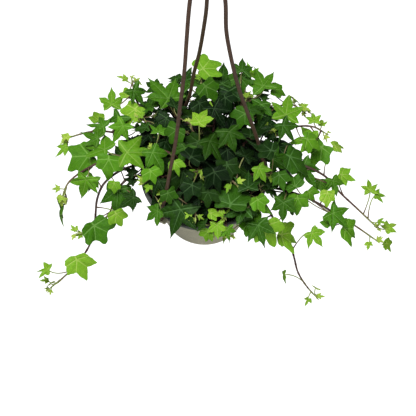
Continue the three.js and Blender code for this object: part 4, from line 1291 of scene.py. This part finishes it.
class Crowd:
    """Everything that a new leaf has to stay clear of."""

    def __init__(self):
        self.trees = [solid_tree(solid.data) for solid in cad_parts.values()]
        self.blades = {}

    def expect(self, leaf):
        """Keeps the room of a leaf that is still to be laid out."""
        corners = [leaf.junction, *leaf.fan()]
        faces = [(0, 1 + i, 1 + (i + 1) % 10) for i in range(10)]
        self.blades[leaf] = BVHTree.FromPolygons(corners, faces)

    def blade_clear(self, leaf, skin):
        return not any(other is not leaf and skin.overlap(tree) for other, tree in self.blades.items())

    def keep(self, leaf, skin):
        self.blades[leaf] = skin

    def room(self, leaf, grown):
        """The closed slab that a leaf takes up, grown outwards a little."""
        lift = leaf.out * ROOM_LIFT * MM
        depth = leaf.out * (ROOM_DEPTH * MM)
        corners = [leaf.junction, *leaf.fan(grown * MM)]
        verts = [corner + lift for corner in corners]
        verts += [corner - lift - depth for corner in corners]
        faces = []
        for i in range(10):
            j = (i + 1) % 10
            faces += [(0, 1 + i, 1 + j), (11, 12 + j, 12 + i), (1 + i, 12 + i, 12 + j),
                      (1 + i, 12 + j, 1 + j)]
        return BVHTree.FromPolygons(verts, faces)

    def clear(self, leaf, start):
        """Whether a leaf and its stalk from a place on the stem touch nothing."""
        room = self.room(leaf, LEAF_ROOM)
        if any(room.overlap(tree) for tree in self.trees):
            return False
        end = stalk_end(leaf, 1.2)
        bend = stalk_bend(start, end, leaf)
        for share in (0.3, 0.5, 0.7, 0.9):
            spot = curve_point(start, bend, end, share)
            if any(tree.find_nearest(spot, STALK_ROOM * MM)[0] is not None for tree in self.trees):
                return False
        return True

    def add(self, leaf):
        self.trees.append(self.room(leaf, KEPT_ROOM))


def under_leaves(nodes, taken, crowd, draw):
    """Older leaves that fill the shade under the mound, each from a free joint of a stem."""
    found = []
    for index, (start, _) in enumerate(nodes):
        if index in taken or math.hypot(start.x, start.y) / MM > UNDER_RADIUS:
            continue
        for attempt in range(UNDER_TRIES):
            sizes = UNDER_SIZES if attempt < UNDER_TRIES / 2 else UNDER_SMALL_SIZES
            size = draw.uniform(*sizes)
            bearing = draw.uniform(0, 360)
            reach = draw.uniform(*UNDER_REACHES)
            junction = start + Vector(polar(bearing, reach, draw.uniform(*UNDER_RISES))) * MM
            x, y, z = junction.x / MM, junction.y / MM, junction.z / MM + HANG_DROP
            if z > mound_height(x, y) - UNDER_DEPTH or (y < OPEN_FRONT and z < OPEN_TOP):
                continue
            outward = math.degrees(math.atan2(y, x))
            facing = mix(bearing, outward, 0.3) + draw.uniform(-UNDER_TURN, UNDER_TURN)
            leaf = small_leaf(junction, facing, draw.uniform(*UNDER_DIPS),
                              draw.uniform(-UNDER_ROLL, UNDER_ROLL), size * MM,
                              draw.uniform(*UNDER_AGES), draw, draw.uniform(*UNDER_FOLDS))
            if crowd.clear(leaf, start):
                crowd.add(leaf)
                found.append((leaf, start))
                break
    return found


def make_vines():
    """Each vine's leaves as thin shells with a face and an underside, and its stem with the stalks."""
    draw = random.Random(31)
    fine, coarse = leaf_template(5), leaf_template(2)
    routes = [arch_route(row) for row in ARCHES] + [trail_route(points) for points in TRAILS]
    crowd = Crowd()
    leaves_of = [read_leaves(f"vine_{number:02d}") for number in range(1, len(routes) + 1)]
    for leaves in leaves_of:
        for leaf in leaves:
            crowd.expect(leaf)
    for number, (route, leaves) in enumerate(zip(routes, leaves_of), 1):
        node = f"vine_{number:02d}"
        skin = solid_tree(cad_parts[node].data)
        leaf_form, stem_form = bmesh.new(), bmesh.new()
        for form in (leaf_form, stem_form):
            for layer in ("age", "tone", "shade"):
                form.verts.layers.float.new(layer)
        nodes = stem_nodes(route)
        taken = set()
        if number <= len(ARCHES):
            add_stem(stem_form, route, ARCH_TIP_AGE, 2)
        else:
            add_stem(stem_form, route, TRAIL_TIP_AGE, 3)
        for leaf in leaves:
            index = stalk_start(leaf, nodes, taken, skin)
            taken.add(index)
            # Old leaves in the dense middle of the mound are darkened by painted shade
            add_leaf(leaf_form, leaf, fine, draw, crowd, painted_centre_shade(leaf))
            add_stalk(stem_form, route.along(nodes[index][1]), leaf, STALK_BASE_AGE)
        for leaf, start in under_leaves([(route.along(s), s) for _, s in nodes], taken, crowd, draw):
            # Painted shade darkens the leaves under the mound
            add_leaf(leaf_form, leaf, fine, draw, crowd, draw.uniform(*UNDER_PAINTED_SHADES))
            add_stalk(stem_form, start, leaf, STALK_BASE_AGE)
        add_tip(leaf_form, stem_form, route, draw, coarse, crowd)
        blades = piece(f"{node}_leaves", leaf_form, (LEAF_FACE, LEAF_BACK), "foliage", node)
        shell = blades.modifiers.new("thickness", "SOLIDIFY")
        shell.thickness = LEAF_THICKNESS * MM
        shell.offset = -1
        shell.material_offset = 1
        shell.material_offset_rim = 1
        piece(f"{node}_stems", stem_form, (STEM,), "foliage", node)


# Stage

def make_stage():
    """A pale floor far below the hanging pot, which looks white and throws little light upwards."""
    form = bmesh.new()
    bmesh.ops.create_grid(form, x_segments=1, y_segments=1, size=FLOOR_SIZE,
                          matrix=Matrix.Translation((0, 0, FLOOR_HEIGHT)))
    mesh = bpy.data.meshes.new("floor")
    form.to_mesh(mesh)
    form.free()
    floor = bpy.data.objects.new("floor", mesh)
    bpy.context.scene.collection.objects.link(floor)
    finish = Finish("floor_white", 0.9)
    finish.colour((FLOOR_GREY, FLOOR_GREY, FLOOR_GREY, 1))
    finish.shader.inputs["Specular IOR Level"].default_value = 0
    finish.shader.inputs["Emission Color"].default_value = (1, 1, 1, 1)
    seen = finish.node("ShaderNodeLightPath", {}).outputs["Is Camera Ray"]
    finish.put(finish.shader.inputs["Emission Strength"], seen)
    mesh.materials.append(finish.material)


def add_lamp(name, place, power):
    """A round soft lamp that faces the plant."""
    lamp = bpy.data.lights.new(name, "AREA")
    lamp.shape = "DISK"
    lamp.size = LAMP_SIZE
    lamp.energy = power
    made = bpy.data.objects.new(name, lamp)
    made.location = place
    made.rotation_euler = (Vector(LAMP_TARGET) - Vector(place)).to_track_quat("-Z", "Y").to_euler()
    bpy.context.scene.collection.objects.link(made)


def make_light():
    """A white background that lights the plant faintly, and two lamps."""
    scene = bpy.context.scene
    world = bpy.data.worlds.new("studio")
    scene.world = world
    world.use_nodes = True
    nodes, links = world.node_tree.nodes, world.node_tree.links
    background = nodes["Background"]
    background.inputs["Color"].default_value = (1, 1, 1, 1)
    seen = nodes.new("ShaderNodeLightPath").outputs["Is Camera Ray"]
    strength = nodes.new("ShaderNodeMapRange")
    links.new(seen, strength.inputs["Value"])
    strength.inputs["To Min"].default_value = AMBIENT
    strength.inputs["To Max"].default_value = 1.0
    links.new(strength.outputs[0], background.inputs["Strength"])
    add_lamp("key", KEY_PLACE, KEY_POWER)
    add_lamp("fill", FILL_PLACE, FILL_POWER)
    scene.view_settings.view_transform = "Standard"


def make_camera():
    """The photograph's view of the plant, with the rim's centre where the photograph has it."""
    data = bpy.data.cameras.new("camera")
    data.sensor_width = SENSOR_WIDTH
    data.lens = FOCAL_PIXELS / PICTURE_SIZE * data.sensor_width
    data.shift_x = (PICTURE_SIZE / 2 - RIM_PIXEL[0]) / PICTURE_SIZE
    data.shift_y = (RIM_PIXEL[1] - PICTURE_SIZE / 2) / PICTURE_SIZE
    camera = bpy.data.objects.new("camera", data)
    tilt = math.radians(CAMERA_ELEVATION)
    camera.location = at(0, 0, 0) + Vector((0, -math.cos(tilt), math.sin(tilt))) * CAMERA_DISTANCE
    camera.rotation_euler = (math.radians(90 - CAMERA_ELEVATION), 0, 0)
    bpy.context.scene.collection.objects.link(camera)
    bpy.context.scene.camera = camera


make_camera()
make_pot()
make_soil()
make_soil_bits()
make_hanger()
make_vines()
make_stage()
make_light()
